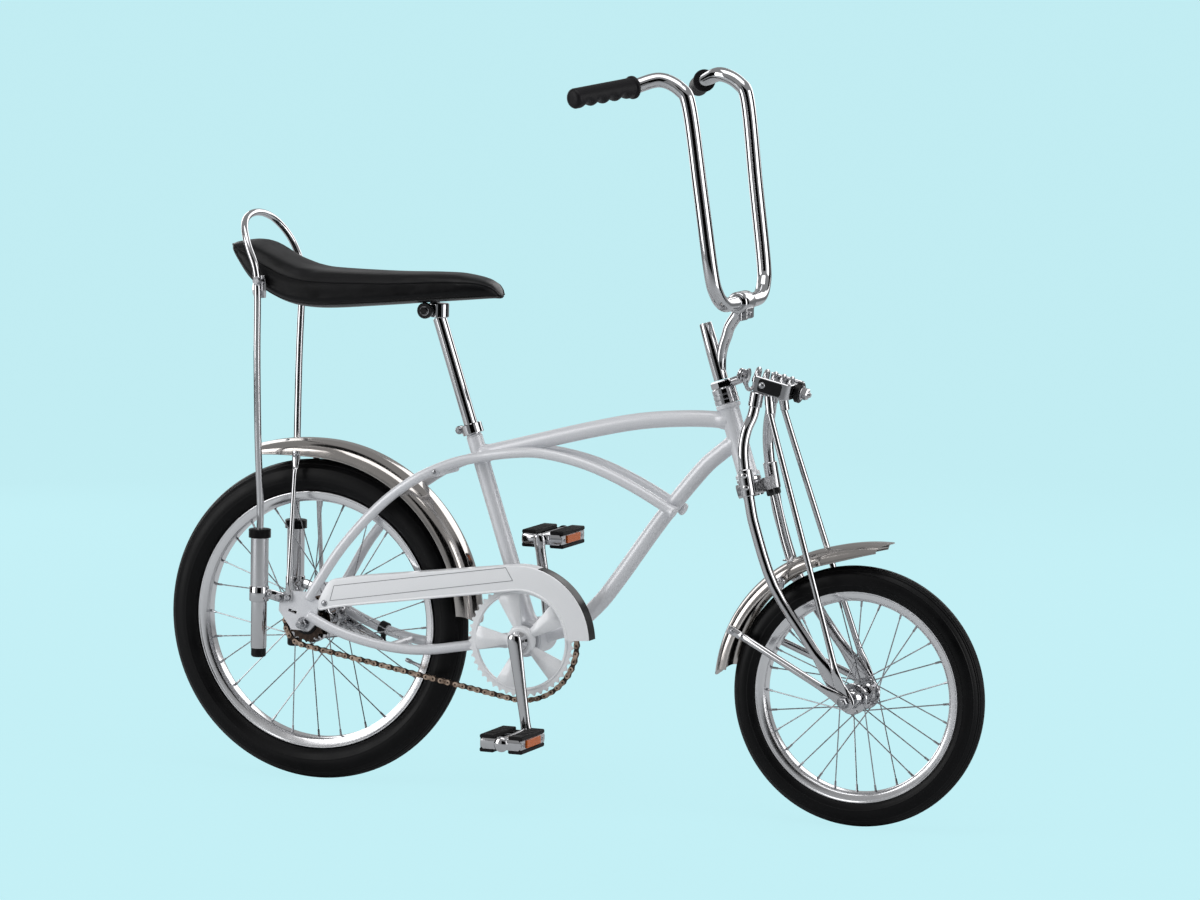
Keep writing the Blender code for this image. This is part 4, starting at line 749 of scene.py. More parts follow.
DOWN_TUBE_LINE = [
    (0.702, 0, 0.583), (0.669, 0, 0.557), (0.6385, 0, 0.528), (0.576, 0, 0.45), (0.506, 0, 0.351),
    (0.4715, 0, 0.308), (0.428, 0, 0.272), tuple(BRACKET),
]
TOP_TUBE_LINE = [
    (0.688, 0, 0.609), (0.62, 0, 0.608), (0.537, 0, 0.599), (0.448, 0, 0.579), (0.34, 0, 0.55),
    (0.2705, 0, 0.531),
]
CANTILEVER_LINE = [
    (0.008, 0.0612, 0.293), (0.026, 0.0608, 0.322), (0.063, 0.053, 0.38), (0.118, 0.0462, 0.443),
    (0.175, 0.0445, 0.488), (0.23, 0.034, 0.516), (0.276, 0.0225, 0.529), (0.33, 0.0225, 0.539),
    (0.385, 0.0225, 0.542), (0.458, 0.0225, 0.529), (0.53, 0.0225, 0.502), (0.606, 0.0215, 0.463),
]
CHAIN_STAY_LINE = [
    (0.008, 0.0612, 0.268), (0.05, 0.06, 0.249), (0.099, 0.054, 0.234), (0.152, 0.047, 0.225),
    (0.204, 0.0426, 0.225), (0.272, 0.0346, 0.236), (0.3535, 0.024, 0.249),
]


def build_frame():
    flare = HEAD_RADIUS + 0.0035
    bore = 0.0131
    head = [
        (0, flare - 0.0005), (-0.0006, flare), (-0.0054, flare), (-0.0075, HEAD_RADIUS + 0.0006),
        (-0.0095, HEAD_RADIUS), (-HEAD_LENGTH + 0.0095, HEAD_RADIUS),
        (-HEAD_LENGTH + 0.0075, HEAD_RADIUS + 0.0006), (-HEAD_LENGTH + 0.0054, flare),
        (-HEAD_LENGTH + 0.0006, flare), (-HEAD_LENGTH, flare - 0.0005), (-HEAD_LENGTH, bore), (0, bore),
    ]
    add_piece("head_lug", turned(head, HEAD_TOP, STEER_UP, 40), "silver", "frame", ["head_tube"])
    top = welded_tube(TOP_TUBE_LINE, TUBE_RADIUS, HEAD_RADIUS, TUBE_RADIUS)
    add_piece("upper_tube", top, "silver", "frame", ["top_tube"])
    down = welded_tube(DOWN_TUBE_LINE, TUBE_RADIUS, HEAD_RADIUS, BRACKET_RADIUS)
    add_piece("lower_tube", down, "silver", "frame", ["down_tube"])
    seat = welded_tube(
        [BRACKET, on_seat_tube(0.4), on_seat_tube(SEAT_TUBE_TOP)], TUBE_RADIUS, BRACKET_RADIUS, None
    )
    add_piece("saddle_tube", seat, "silver", "frame", ["seat_tube"])
    for name, hand in SIDES:
        stay = welded_tube(on_side(CANTILEVER_LINE, hand), STAY_RADIUS, None, 0.004)
        add_piece("arched_stay_" + name, stay, "silver", "frame", ["cantilever_stay_" + name])
        lower = welded_tube(on_side(CHAIN_STAY_LINE, hand), STAY_RADIUS, None, BRACKET_RADIUS)
        add_piece("lower_stay_" + name, lower, "silver", "frame", ["chain_stay_" + name])
        dress_solid("dropout_" + name, "silver", 0.0008)
    half = BRACKET_HALF
    shell = [
        (-half - 0.003, 0.0232), (-half - 0.003, 0.025), (-half - 0.0005, 0.0255),
        (-half, BRACKET_RADIUS - 0.0006), (-half + 0.0006, BRACKET_RADIUS), (half - 0.0006, BRACKET_RADIUS),
        (half, BRACKET_RADIUS - 0.0006), (half + 0.0005, 0.0255), (half + 0.003, 0.025),
        (half + 0.003, 0.0232), (half + 0.002, 0.012), (-half - 0.002, 0.012),
    ]
    add_piece("bracket_shell", turned(shell, BRACKET, AXIS_Y, 48), "silver", "frame", ["bottom_bracket"])
    bridges = []
    for x, z, reach in ((0.214, 0.503, 0.0385), (0.14, 0.2255, 0.044)):
        bridges.append(rod(Vector((x, -reach, z)), Vector((x, reach, z)), 0.006, 16))
    add_piece("stay_bridges", bridges, "silver", "frame")
    screws = []
    for hand in (-1, 1):
        screws.append(dome(Vector((0.214, hand * 0.047, 0.5055)), AXIS_Y * hand, 0.004, 0.002))
    add_piece("bridge_screws", screws, "zinc", "frame")


# Rear hardware


def build_rear_hardware():
    outer = DROPOUT_OUTER
    parts = []
    for hand in (-1, 1):
        axis = AXIS_Y * hand
        parts.append(nut(REAR_AXLE + axis * outer, axis, 0.0088, 0.0078, 0.0105))
        parts.append(rod(REAR_AXLE + axis * (outer + 0.006), REAR_AXLE + axis * 0.08, 0.0047, 16, 0.0008))
        for k in range(6):
            place = REAR_AXLE + axis * (outer + 0.0105 + 0.0013 * k)
            parts.append(turned([(0, 0.0045), (0.0004, 0.0051), (0.0008, 0.0045)], place, axis, 16))
    parts.append(rod(REAR_AXLE - AXIS_Y * outer, REAR_AXLE + AXIS_Y * outer, 0.0048, 16))
    add_piece("rear_axle_nuts", parts, "zinc", "frame", ["rear_axle"], crease=25)
    arm = swept(
        [
            (-0.012, 0.0485, 0.258, 0.0015, 0.005), (-0.008, 0.0485, 0.2565, 0.0015, 0.011),
            (0.01, 0.0485, 0.2505, 0.0015, 0.012), (0.047, 0.0485, 0.2335, 0.0015, 0.0098),
            (0.084, 0.0485, 0.2165, 0.0015, 0.008), (0.09, 0.0485, 0.2145, 0.0015, 0.004),
        ],
        28,
    )
    add_piece("coaster_arm", arm, "chrome", "frame", ["brake_arm"], crease=40)
    dress_solid("brake_clip", "cap", 0.0004)
    bolt = [
        nut(Vector((0.0875, 0.047, 0.217)), -AXIS_Y, 0.0052, 0.004),
        dome(Vector((0.0875, 0.0535, 0.217)), AXIS_Y, 0.005, 0.003),
    ]
    add_piece("coaster_arm_bolt", bolt, "zinc", "frame")


def build_struts():
    for name, hand in SIDES:
        foot = Vector((SHOCK.x, hand * SHOCK.y, SHOCK.z))
        height = SHOCK_TOP - SHOCK.z
        barrel = [
            (0.014, 0), (0.014, 0.012), (0.0155, 0.0125), (0.088, 0.0125), (0.089, 0.015), (0.09, 0.0155),
            (0.111, 0.0155), (0.112, 0.015), (0.1125, 0.014), (height - 0.0145, 0.014),
            (height - 0.014, 0.013), (height - 0.014, 0),
        ]
        outer = DROPOUT_OUTER
        arm = bent(
            [
                (SHOCK.x + 0.003, SHOCK.y, 0.298, 0.0032, 0.0072),
                (SHOCK.x + 0.02, outer + 0.0055, 0.297, 0.003, 0.008),
                (SHOCK.x + 0.029, outer + 0.0032, 0.2945, 0.0029, 0.008),
                (SHOCK.x + 0.04, outer + 0.0032, 0.292, 0.0029, 0.0078),
            ],
            4, 24, hand,
        )
        strut = joined(turned(barrel, foot, AXIS_Z, 40), arm)
        add_piece("strut_barrel_" + name, strut, "chrome", "frame", ["shock_" + name], crease=30)
        collar = [(height - 0.0145, 0.0135)]
        for k in range(28):
            along = height - 0.014 + 0.014 * k / 27
            rise = 0.0172 + (0.0006 if k % 3 == 1 else 0.0)
            if k in (0, 27):
                rise = 0.016
            collar.append((along, rise))
        collar += [(height, 0.006), (height - 0.0145, 0.006)]
        cap = [
            (0, 0), (0, 0.0095), (0.001, 0.0108), (0.0025, 0.0118), (0.0145, 0.0118), (0.015, 0.01),
            (0.015, 0),
        ]
        rubber = joined(turned(collar, foot, AXIS_Z, 40), turned(cap, foot, AXIS_Z, 32))
        add_piece("strut_rubber_" + name, rubber, "cap", "frame", ["shock_" + name], crease=30)
        axis = AXIS_Y * hand
        bolts = joined(
            nut(Vector((SHOCK.x + 0.034, hand * (outer + 0.006), 0.2932)), axis, 0.0058, 0.0045, 0.0065),
            dome(Vector((SHOCK.x + 0.018, hand * (outer + 0.0088), 0.2972)), axis, 0.0042, 0.0026),
        )
        add_piece("strut_bolts_" + name, bolts, "zinc", "frame", crease=30)


SISSY_LINE = [
    (-0.119, 0.0, 0.892), (-0.117, 0.036, 0.887), (-0.109, 0.062, 0.873), (-0.095, 0.0795, 0.847),
    (-0.08, 0.0825, 0.812), (-0.076, 0.082, 0.77), (-0.0773, 0.078, 0.67), (-0.0765, 0.0725, 0.54),
    (-0.074, 0.067, 0.44), (-0.074, 0.067, 0.39),
]


def mirrored(half):
    """A line that starts on the middle plane, run back from its mirror image as well."""
    return [(x, -y, z) for x, y, z in reversed(half[1:])] + list(half)


def build_sissy_bar():
    bar = tube(mirrored(SISSY_LINE), 0.0055, 6, 20, AXIS_X)
    add_piece("sissy_loop", bar, "chrome", "frame", ["sissy_bar"], crease=60)
    parts = []
    straps = []
    for _, hand in SIDES:
        axis = AXIS_Y * hand
        spot = Vector((-0.0735, hand * 0.0885, 0.7915))
        parts.append(nut(spot, axis, 0.0062, 0.0048, 0.0072))
        parts.append(rod(spot - axis * 0.015, spot, 0.003, 12))
        strap = bent(
            [
                (-0.075, 0.0757, 0.8, 0.0009, 0.008), (-0.0755, 0.0757, 0.788, 0.0009, 0.011),
                (-0.076, 0.0754, 0.774, 0.001, 0.012), (-0.0755, 0.0725, 0.764, 0.0012, 0.01),
            ],
            4, 20, hand,
        )
        straps.append(strap)
    add_piece("sissy_bolts", parts, "zinc", "frame", crease=30)
    add_piece("saddle_straps", straps, "chrome", "frame", crease=40)


# Fenders

REAR_FENDER = {
    "centre": Vector((-0.002, 0, 0.262)), "radius": 0.279, "start": 4, "end": 109, "half_width": 0.036,
    "skirt": 0.026, "flares": (0.0, 0.006), "flare_length": (0.1, 22), "tongue": 0.014,
}
FRONT_FENDER = {
    "centre": FRONT_AXLE, "radius": 0.231, "start": 82, "end": 172, "half_width": 0.031, "skirt": 0.023,
    "flares": (0.012, 0.0), "flare_length": (24, 0.1), "tongue": 0.016,
}


def fender_edge(fender, angle):
    """How far the sheet lifts from its circle at an angle, and how much of its skirt is left there."""
    lift = 0.0
    skirt = 1.0
    for flare, reach, stop in zip(
        fender["flares"], fender["flare_length"], (fender["start"], fender["end"])
    ):
        near = max(0.0, 1 - abs(angle - stop) / reach)
        lift += flare * near**2
        if flare:
            skirt -= 0.3 * near**2
    return lift, skirt


def fender_shell(fender):
    """A rolled sheet with a raised crown, rolled edges and flared tips."""
    sheet = 0.0012
    half = fender["half_width"]
    sections = []
    edges = {-1: [], 1: []}
    steps = 96
    for i in range(steps + 1):
        angle = fender["start"] + (fender["end"] - fender["start"]) * i / steps
        lift, left = fender_edge(fender, angle)
        skirt = fender["skirt"] * left
        turn = math.radians(angle)
        drawn = 0.0
        for stop, way in ((fender["start"], -1), (fender["end"], 1)):
            near = max(0.0, 1 - abs(angle - stop) / 16)
            drawn += way * near**2 * fender["tongue"] / fender["radius"]
        outer = []
        inner = []
        for k in range(41):
            lean = math.radians(-90 + 180 * k / 40)
            across = math.copysign(abs(math.sin(lean)) ** 0.8, math.sin(lean))
            drop = skirt * (1 - abs(math.cos(lean)) ** 0.8)
            crown = 0.0 if abs(across) < 0.34 else 0.0009 * min(1.0, (abs(across) - 0.34) / 0.06)
            base = fender["radius"] + lift - drop - crown * (1 - drop / skirt)
            spread = turn + drawn * (1 - across * across)
            out = outward(spread)
            outer.append(fender["centre"] + out * base + AXIS_Y * across * half)
            inner.append(
                fender["centre"] + out * (
                    base - sheet * abs(math.cos(lean))
                ) + AXIS_Y * across * (half - sheet)
            )
        sections.append(outer + list(reversed(inner)))
        for hand, spot in ((-1, outer[0]), (1, outer[-1])):
            edges[hand].append((*(spot + AXIS_Y * -hand * 0.0012), 0.0013, 0.0013))
    shell = [loft(sections)]
    for rows in edges.values():
        shell.append(swept(rows, 10))
    return joined(*shell)


def build_fenders():
    add_piece("fender_rear", fender_shell(REAR_FENDER), "sheet", "frame", ["rear_fender"], crease=60)
    add_piece("fender_front", fender_shell(FRONT_FENDER), "sheet", "steering", ["front_fender"], crease=60)
    face = REAR_FENDER["half_width"] + SEAT_GAP
    outer = DROPOUT_OUTER
    front_face = FRONT_FENDER["half_width"] + SEAT_GAP
    for name, hand in SIDES:
        rows = [
            (-0.0271, face + 0.0018, 0.5233, 0.0018, 0.0058),
            (-0.0271, face + 0.0018, 0.511, 0.0018, 0.0062), (-0.027, face + 0.0034, 0.496, 0.0024, 0.005),
            (-0.0268, face + 0.006, 0.485, 0.0036, 0.0036), (-0.0262, face + 0.016, 0.4, 0.0036, 0.0036),
            (-0.0258, outer + 0.0005, 0.322, 0.0036, 0.0036),
            (-0.0256, outer + 0.0018, 0.306, 0.0024, 0.0052),
            (-0.0255, outer + 0.002, 0.296, 0.0018, 0.0064),
            (-0.0255, outer + 0.002, 0.287, 0.0018, 0.0058),
        ]
        stay = bent(rows, 3, 18, hand)
        add_piece("fender_stay_" + name, stay, "chrome", "frame", ["rear_fender_stay_" + name], crease=50)
        axis = AXIS_Y * hand
        screws = joined(
            dome(Vector((-0.0271, hand * (face + 0.0034), 0.516)), axis, 0.004, 0.0022),
            nut(Vector((-0.0255, hand * (outer + 0.0036), 0.294)), axis, 0.0056, 0.0042, 0.0062),
            rod(
                Vector((-0.0255, hand * outer, 0.294)), Vector((-0.0255, hand * (outer + 0.006), 0.294)),
                0.004, 14,
            ),
        )
        add_piece("fender_stay_screws_" + name, screws, "zinc", "frame", crease=30)
        rows = [
            (0.7, front_face + 0.0018, 0.293, 0.0018, 0.0066),
            (0.711, front_face + 0.0018, 0.2885, 0.0018, 0.0066),
            (0.724, front_face + 0.0035, 0.283, 0.0026, 0.0062), (0.74, 0.04, 0.277, 0.0042, 0.006),
            (0.85, 0.066, 0.228, 0.0042, 0.006), (0.868, BRACE_EYE_Y, 0.219, 0.0034, 0.0062),
            (0.885, BRACE_EYE_Y, 0.21, 0.0019, 0.008), (0.902, BRACE_EYE_Y, 0.2, 0.0018, 0.0098),
            (0.9105, BRACE_EYE_Y, 0.195, 0.0018, 0.007),
        ]
        brace = bent(rows, 3, 20, hand)
        add_piece(
            "front_brace_" + name, brace, "chrome", "steering", ["front_fender_brace_" + name], crease=50
        )
        screw = dome(Vector((0.7075, hand * (front_face + 0.0034), 0.29)), axis, 0.004, 0.0022)
        add_piece("front_brace_screw_" + name, screw, "zinc", "steering")
    rivets = []
    out = outward(math.radians(100.5))
    for y in (-0.014, 0.014):
        spot = REAR_FENDER["centre"] + out * (REAR_FENDER["radius"] - 0.0005) + AXIS_Y * y
        rivets.append(dome(spot, out, 0.0042, 0.0022))
    add_piece("fender_rivets", rivets, "zinc", "frame")


# Chain guard

GUARD_FACE = -0.0608
GUARD_SHEET = 0.0015
GUARD_FLANGE = 0.024
GUARD_ENDS = [
    # outer x, outer z, inner x, inner z, flange depth
    (0.027, 0.295, 0.0265, 0.2815, 0.0016), (0.034, 0.309, 0.03, 0.279, 0.0016),
    (0.0465, 0.326, 0.04, 0.2815, 0.003), (0.0711, 0.3313, 0.0661, 0.2873, 0.016),
    (0.0961, 0.3355, 0.0911, 0.2913, GUARD_FLANGE),
]


def guard_rows():
    """Rows of the guard's outer and inner edges and its flange's depth, from the rear end to the front."""
    centre_x = BRACKET.x + 0.0016
    centre_z = BRACKET.z + 0.0018
    rows = list(through(GUARD_ENDS, 4))
    outer = arc(centre_x, centre_z, 0.117, 97, 4, 60)
    inner = arc(centre_x, centre_z, 0.079, 96, 4, 60)
    last = rows[-1]
    first = (*outer[0], *inner[0], GUARD_FLANGE)
    for k in range(1, 12):
        share = k / 12
        rows.append(tuple(a + (b - a) * share for a, b in zip(last, first)))
    for (x0, z0), (x1, z1) in zip(outer, inner):
        rows.append((x0, z0, x1, z1, GUARD_FLANGE))
    return rows


def build_chain_guard():
    back = GUARD_FACE - GUARD_SHEET
    sections = []
    painted_reflection_strip = []
    lip = []
    for outer_x, outer_z, inner_x, inner_z, flange in guard_rows():
        edge = Vector((outer_x, 0, outer_z))
        low = Vector((inner_x, 0, inner_z))
        inward = (low - edge).normalized()
        turned_in = GUARD_FACE + flange
        under = edge + inward * GUARD_SHEET
        soft = 0.003
        section = [
            low + AXIS_Y * (GUARD_FACE - 0.0002), low + AXIS_Y * back, edge + inward * soft + AXIS_Y * back,
            edge + inward * soft * 0.45 + AXIS_Y * (back + soft * 0.12),
            edge + inward * soft * 0.12 + AXIS_Y * (back + soft * 0.45),
            edge + AXIS_Y * (back + min(soft, 0.5 * (turned_in - back))), edge + AXIS_Y * turned_in,
            under + AXIS_Y * turned_in, under + AXIS_Y * GUARD_FACE,
        ]
        sections.append(section)
        lip.append((*(low + AXIS_Y * (back + 0.0004)), 0.0021, 0.0021))
        # Over the front arc a black plastic strip runs along the flange's edge: a painted dark reflection where
        # the flange mirrors dark surroundings.
        if outer_x > 0.395:
            off = edge - inward * 0.0004
            painted_reflection_strip.append(
                [
                    off + AXIS_Y * (back + 0.002), off + AXIS_Y * (turned_in + 0.0004),
                    edge + inward * 0.0004 + AXIS_Y * (turned_in + 0.0004),
                    edge + inward * 0.0002 + AXIS_Y * (back + 0.002),
                ]
            )
    # The guard's shell and lip take the whiter silver: painted light for the flat face, since the guard's paint
    # is the frame's silver lacquer.
    add_piece("guard_shell", loft(sections), "ring", "frame", ["chain_guard"], crease=32)
    add_piece("guard_lip", swept(lip, 14), "ring", "frame", ["chain_guard"], crease=60)
    # The black strip on the flange is painted dark reflection.
    add_piece("guard_painted_dark_reflection", loft(painted_reflection_strip), "cap", "frame", crease=32)
    corners = [(0.0527, 0.3177), (0.3433, 0.3661), (0.3554, 0.3467), (0.0461, 0.2936)]
    rows = []
    for (x0, z0), (x1, z1) in zip(corners, corners[1:] + corners[:1]):
        a = Vector((x0, back - 0.0001, z0))
        b = Vector((x1, back - 0.0001, z1))
        rows.append(swept([(*a, 0.0002, 0.0005), (*b, 0.0002, 0.0005)], 8))
    add_piece("guard_panel_line", rows, "ink", "frame")
    screw = dome(Vector((0.0367, back, 0.289)), -AXIS_Y, 0.0052, 0.0028)
    add_piece("guard_screw", screw, "zinc", "frame")


# Drive

RING_PITCH_RADIUS = CHAIN_PITCH / (2 * math.sin(math.pi / RING_TEETH))
SPROCKET_PITCH_RADIUS = CHAIN_PITCH / (2 * math.sin(math.pi / SPROCKET_TEETH))


def chain_route():
    """The chain's closed loop: its length, and a function from a distance along it to a point."""
    rear_radius, front_radius = SPROCKET_PITCH_RADIUS, RING_PITCH_RADIUS
    span = BRACKET - REAR_AXLE
    slope = math.atan2(span.z, span.x)
    spread = math.asin((front_radius - rear_radius) / span.length)
    run = span.length * math.cos(spread)
    top = slope + math.pi / 2 + spread
    low = slope - math.pi / 2 - spread
    lengths = [run, front_radius * (math.pi + 2 * spread), run, rear_radius * (math.pi - 2 * spread)]

    def at(travel):
        travel %= sum(lengths)
        if travel < lengths[0]:
            start = REAR_AXLE + outward(top) * rear_radius
            return start.lerp(BRACKET + outward(top) * front_radius, travel / run)
        travel -= lengths[0]
        if travel < lengths[1]:
            return BRACKET + outward(top - travel / front_radius) * front_radius
        travel -= lengths[1]
        if travel < lengths[2]:
            start = BRACKET + outward(low) * front_radius
            return start.lerp(REAR_AXLE + outward(low) * rear_radius, travel / run)
        travel -= lengths[2]
        return REAR_AXLE + outward(low - travel / rear_radius) * rear_radius

    return sum(lengths), at


def link_plate(first, second, near, far, radius, waist):
    """A figure-eight side plate between two pins."""
    along = (second - first).normalized()
    up = along.cross(AXIS_Y)
    outline = []
    for centre, turn in ((first, math.pi), (second, 0.0)):
        for k in range(7):
            angle = turn - math.radians(105) + math.radians(210) * k / 6
            outline.append(centre + (along * math.cos(angle) + up * math.sin(angle)) * radius)
    middle = (first + second) / 2
    outline.insert(7, middle - up * waist)
    outline.append(middle + up * waist)
    return loft([[point + AXIS_Y * (CHAIN_LINE + y) for point in outline] for y in (near, far)])


def build_chain():
    length, at = chain_route()
    count = 2 * round(length / CHAIN_PITCH / 2)
    pins = [at(length * i / count) for i in range(count)]
    plates = ([], [])
    rollers = []
    for i, first in enumerate(pins):
        second = pins[(i + 1) % count]
        offset = 0.0031 if i % 2 == 0 else 0.002
        for hand in (-1, 1):
            near = hand * (offset - 0.00045)
            far = hand * (offset + 0.00045)
            plates[i % 2].append(link_plate(first, second, near, far, 0.0042, 0.0029))
        start = first + AXIS_Y * (CHAIN_LINE - 0.0015)
        rollers.append(rod(start, start + AXIS_Y * 0.003, 0.0038, 10))
        start = first + AXIS_Y * (CHAIN_LINE - 0.004)
        rollers.append(rod(start, start + AXIS_Y * 0.008, 0.0017, 8, 0.0003))
    # The inner plates and rollers, set between the outer plates, are drawn in the darker bronze.
    add_piece("chain_outer_plates", plates[0], "bronze", "frame", ["chain"], crease=30)
    add_piece("chain_inner_plates", plates[1], "oiled", "frame", ["chain"], crease=30)
    add_piece("chain_rollers", rollers, "oiled", "frame", ["chain"], crease=30)


def toothed_ring(centre, teeth, pitch_radius, inner, half, finish_edge):
    """A toothed annulus round the Y axis: chamfered teeth outside, a plain circle inside."""
    tip = pitch_radius * math.cos(math.pi / teeth) - 0.0046
    root = tip - 0.0046
    shape = (
        (0.0, 0.0), (0.14, 0.0), (0.28, 0.42), (0.42, 0.94), (0.5, 1.0), (0.58, 0.94), (0.72, 0.42),
        (0.86, 0.0),
    )
    sections = []
    for i in range(teeth):
        for share, rise in shape:
            angle = 2 * math.pi * (i + share) / teeth
            out = outward(angle)
            reach = root + (tip - root) * rise
            thin = half * (1 - 0.45 * rise)
            section = []
            for radius, y in (
                (inner, -half), (inner, half), (root - finish_edge, half), (reach, thin), (reach, -thin),
                (root - finish_edge, -half),
            ):
                section.append(centre + out * radius + AXIS_Y * (CHAIN_LINE + y))
            sections.append(section)
    return loft(sections, closed=True)


def build_chainring():
    parts = [toothed_ring(BRACKET, RING_TEETH, RING_PITCH_RADIUS, 0.0735, RING_HALF, 0.001)]
    bead = [
        (-0.0018, 0.0745), (-0.0026, 0.0755), (-0.0026, 0.077), (-0.0018, 0.078), (0.001, 0.078),
        (0.001, 0.0745),
    ]
    parts.append(turned(bead, BRACKET + AXIS_Y * CHAIN_LINE, AXIS_Y, 96))
    for angle in (36, 108, 180, 252, 324):
        turn = math.radians(angle)
        out = outward(turn)
        across = Vector((-math.sin(turn), 0, math.cos(turn)))
        sections = []
        for reach, wide, rise in (
            (0.018, 0.006, 0.0026), (0.025, 0.0075, 0.0046), (0.04, 0.0112, 0.005), (0.06, 0.016, 0.005),
            (0.0715, 0.0188, 0.0048), (0.0765, 0.0198, 0.0018),
        ):
            section = []
            for side, lift in (
                (-1, 1.0), (-1, -0.6), (-0.22, -rise / RING_HALF), (0.22, -rise / RING_HALF), (1, -0.6),
                (1, 1.0),
            ):
                y = CHAIN_LINE + lift * RING_HALF
                section.append(BRACKET + out * reach + across * side * wide + AXIS_Y * y)
            sections.append(section)
        arm = loft(sections)
        bmesh.ops.bevel(arm, geom=arm.edges[:], offset=0.0005, segments=2, affect="EDGES")
        parts.append(arm)
    hub = [
        (-0.01, 0.012), (-0.01, 0.0195), (-0.009, 0.0212), (-0.005, 0.0226), (0.0035, 0.0232),
        (0.004, 0.0225), (0.004, 0.012),
    ]
    parts.append(turned(hub, BRACKET + AXIS_Y * CHAIN_LINE, AXIS_Y, 48))
    add_piece("chain_wheel", parts, "ring", "crank", ["chainring"], crease=28)


def build_sprocket():
    ring = toothed_ring(REAR_AXLE, SPROCKET_TEETH, SPROCKET_PITCH_RADIUS, 0.013, RING_HALF, 0.001)
    add_piece("driven_sprocket", ring, "oiled", "rear_sprocket", ["rear_sprocket"], crease=28)
    centre = REAR_AXLE + AXIS_Y * CHAIN_LINE
    dark = turned(
        [
            (0.0068, 0.0125), (0.0068, 0.0185), (-0.001, 0.019), (-0.0035, 0.0185), (-0.004, 0.0175),
            (-0.004, 0.0125),
        ],
        centre, AXIS_Y, 48,
    )
    add_piece("sprocket_dust_cap", dark, "cap", "rear_sprocket", ["rear_sprocket"], crease=28)
    rings = joined(
        turned(
            [(-0.0036, 0.0128), (-0.0046, 0.0134), (-0.0046, 0.0142), (-0.0036, 0.0148)],
            centre, AXIS_Y, 48,
        ),
        turned(
            [(0.006, 0.0062), (0.006, 0.012), (-0.005, 0.012), (-0.0056, 0.011), (-0.0056, 0.0062)],
            centre, AXIS_Y, 40,
        ),
    )
    add_piece("sprocket_rings", rings, "zinc", "rear_sprocket", ["rear_sprocket"], crease=28)


def build_crank():
    parts = [rod(BRACKET - AXIS_Y * 0.076, BRACKET + AXIS_Y * 0.076, 0.0105, 32, 0.001)]
    for hand in (-1, 1):
        axis = AXIS_Y * hand
        down = CRANK_DOWN if hand < 0 else -CRANK_DOWN
        start = BRACKET + axis * CRANK_ARM_Y
        rows = []
        for share, wide, deep in (
            (-0.095, 0.005, 0.0035), (-0.085, 0.0085, 0.005), (-0.06, 0.0108, 0.006),
            (-0.02, 0.0116, 0.0064), (0.08, 0.0112, 0.0064), (0.25, 0.0104, 0.0063), (0.55, 0.0091, 0.0061),
            (0.86, 0.0082, 0.006), (0.95, 0.0092, 0.0062), (1.0, 0.01, 0.0063), (1.05, 0.009, 0.0062),
            (1.072, 0.005, 0.0045),
        ):
            point = start + down * CRANK_LENGTH * share
            rows.append((*point, deep, wide))
        parts.append(bent(rows, 4, 28))
        collar = [(0, 0), (0, 0.016), (0.004, 0.0158), (0.008, 0.0125), (0.014, 0.0118), (0.014, 0)]
        parts.append(turned(collar, BRACKET + axis * 0.0585, axis, 40))
        parts.append(
            turned(
                [(0, 0), (0, 0.0135), (0.002, 0.0135), (0.012, 0.01), (0.012, 0)],
                start - axis * 0.015, axis, 32,
            )
        )
        parts.append(nut(BRACKET + axis * 0.0385, axis, 0.0185, 0.006, 0.021))
    add_piece("one_piece_crank", parts, "chrome", "crank", ["crank"], crease=40)


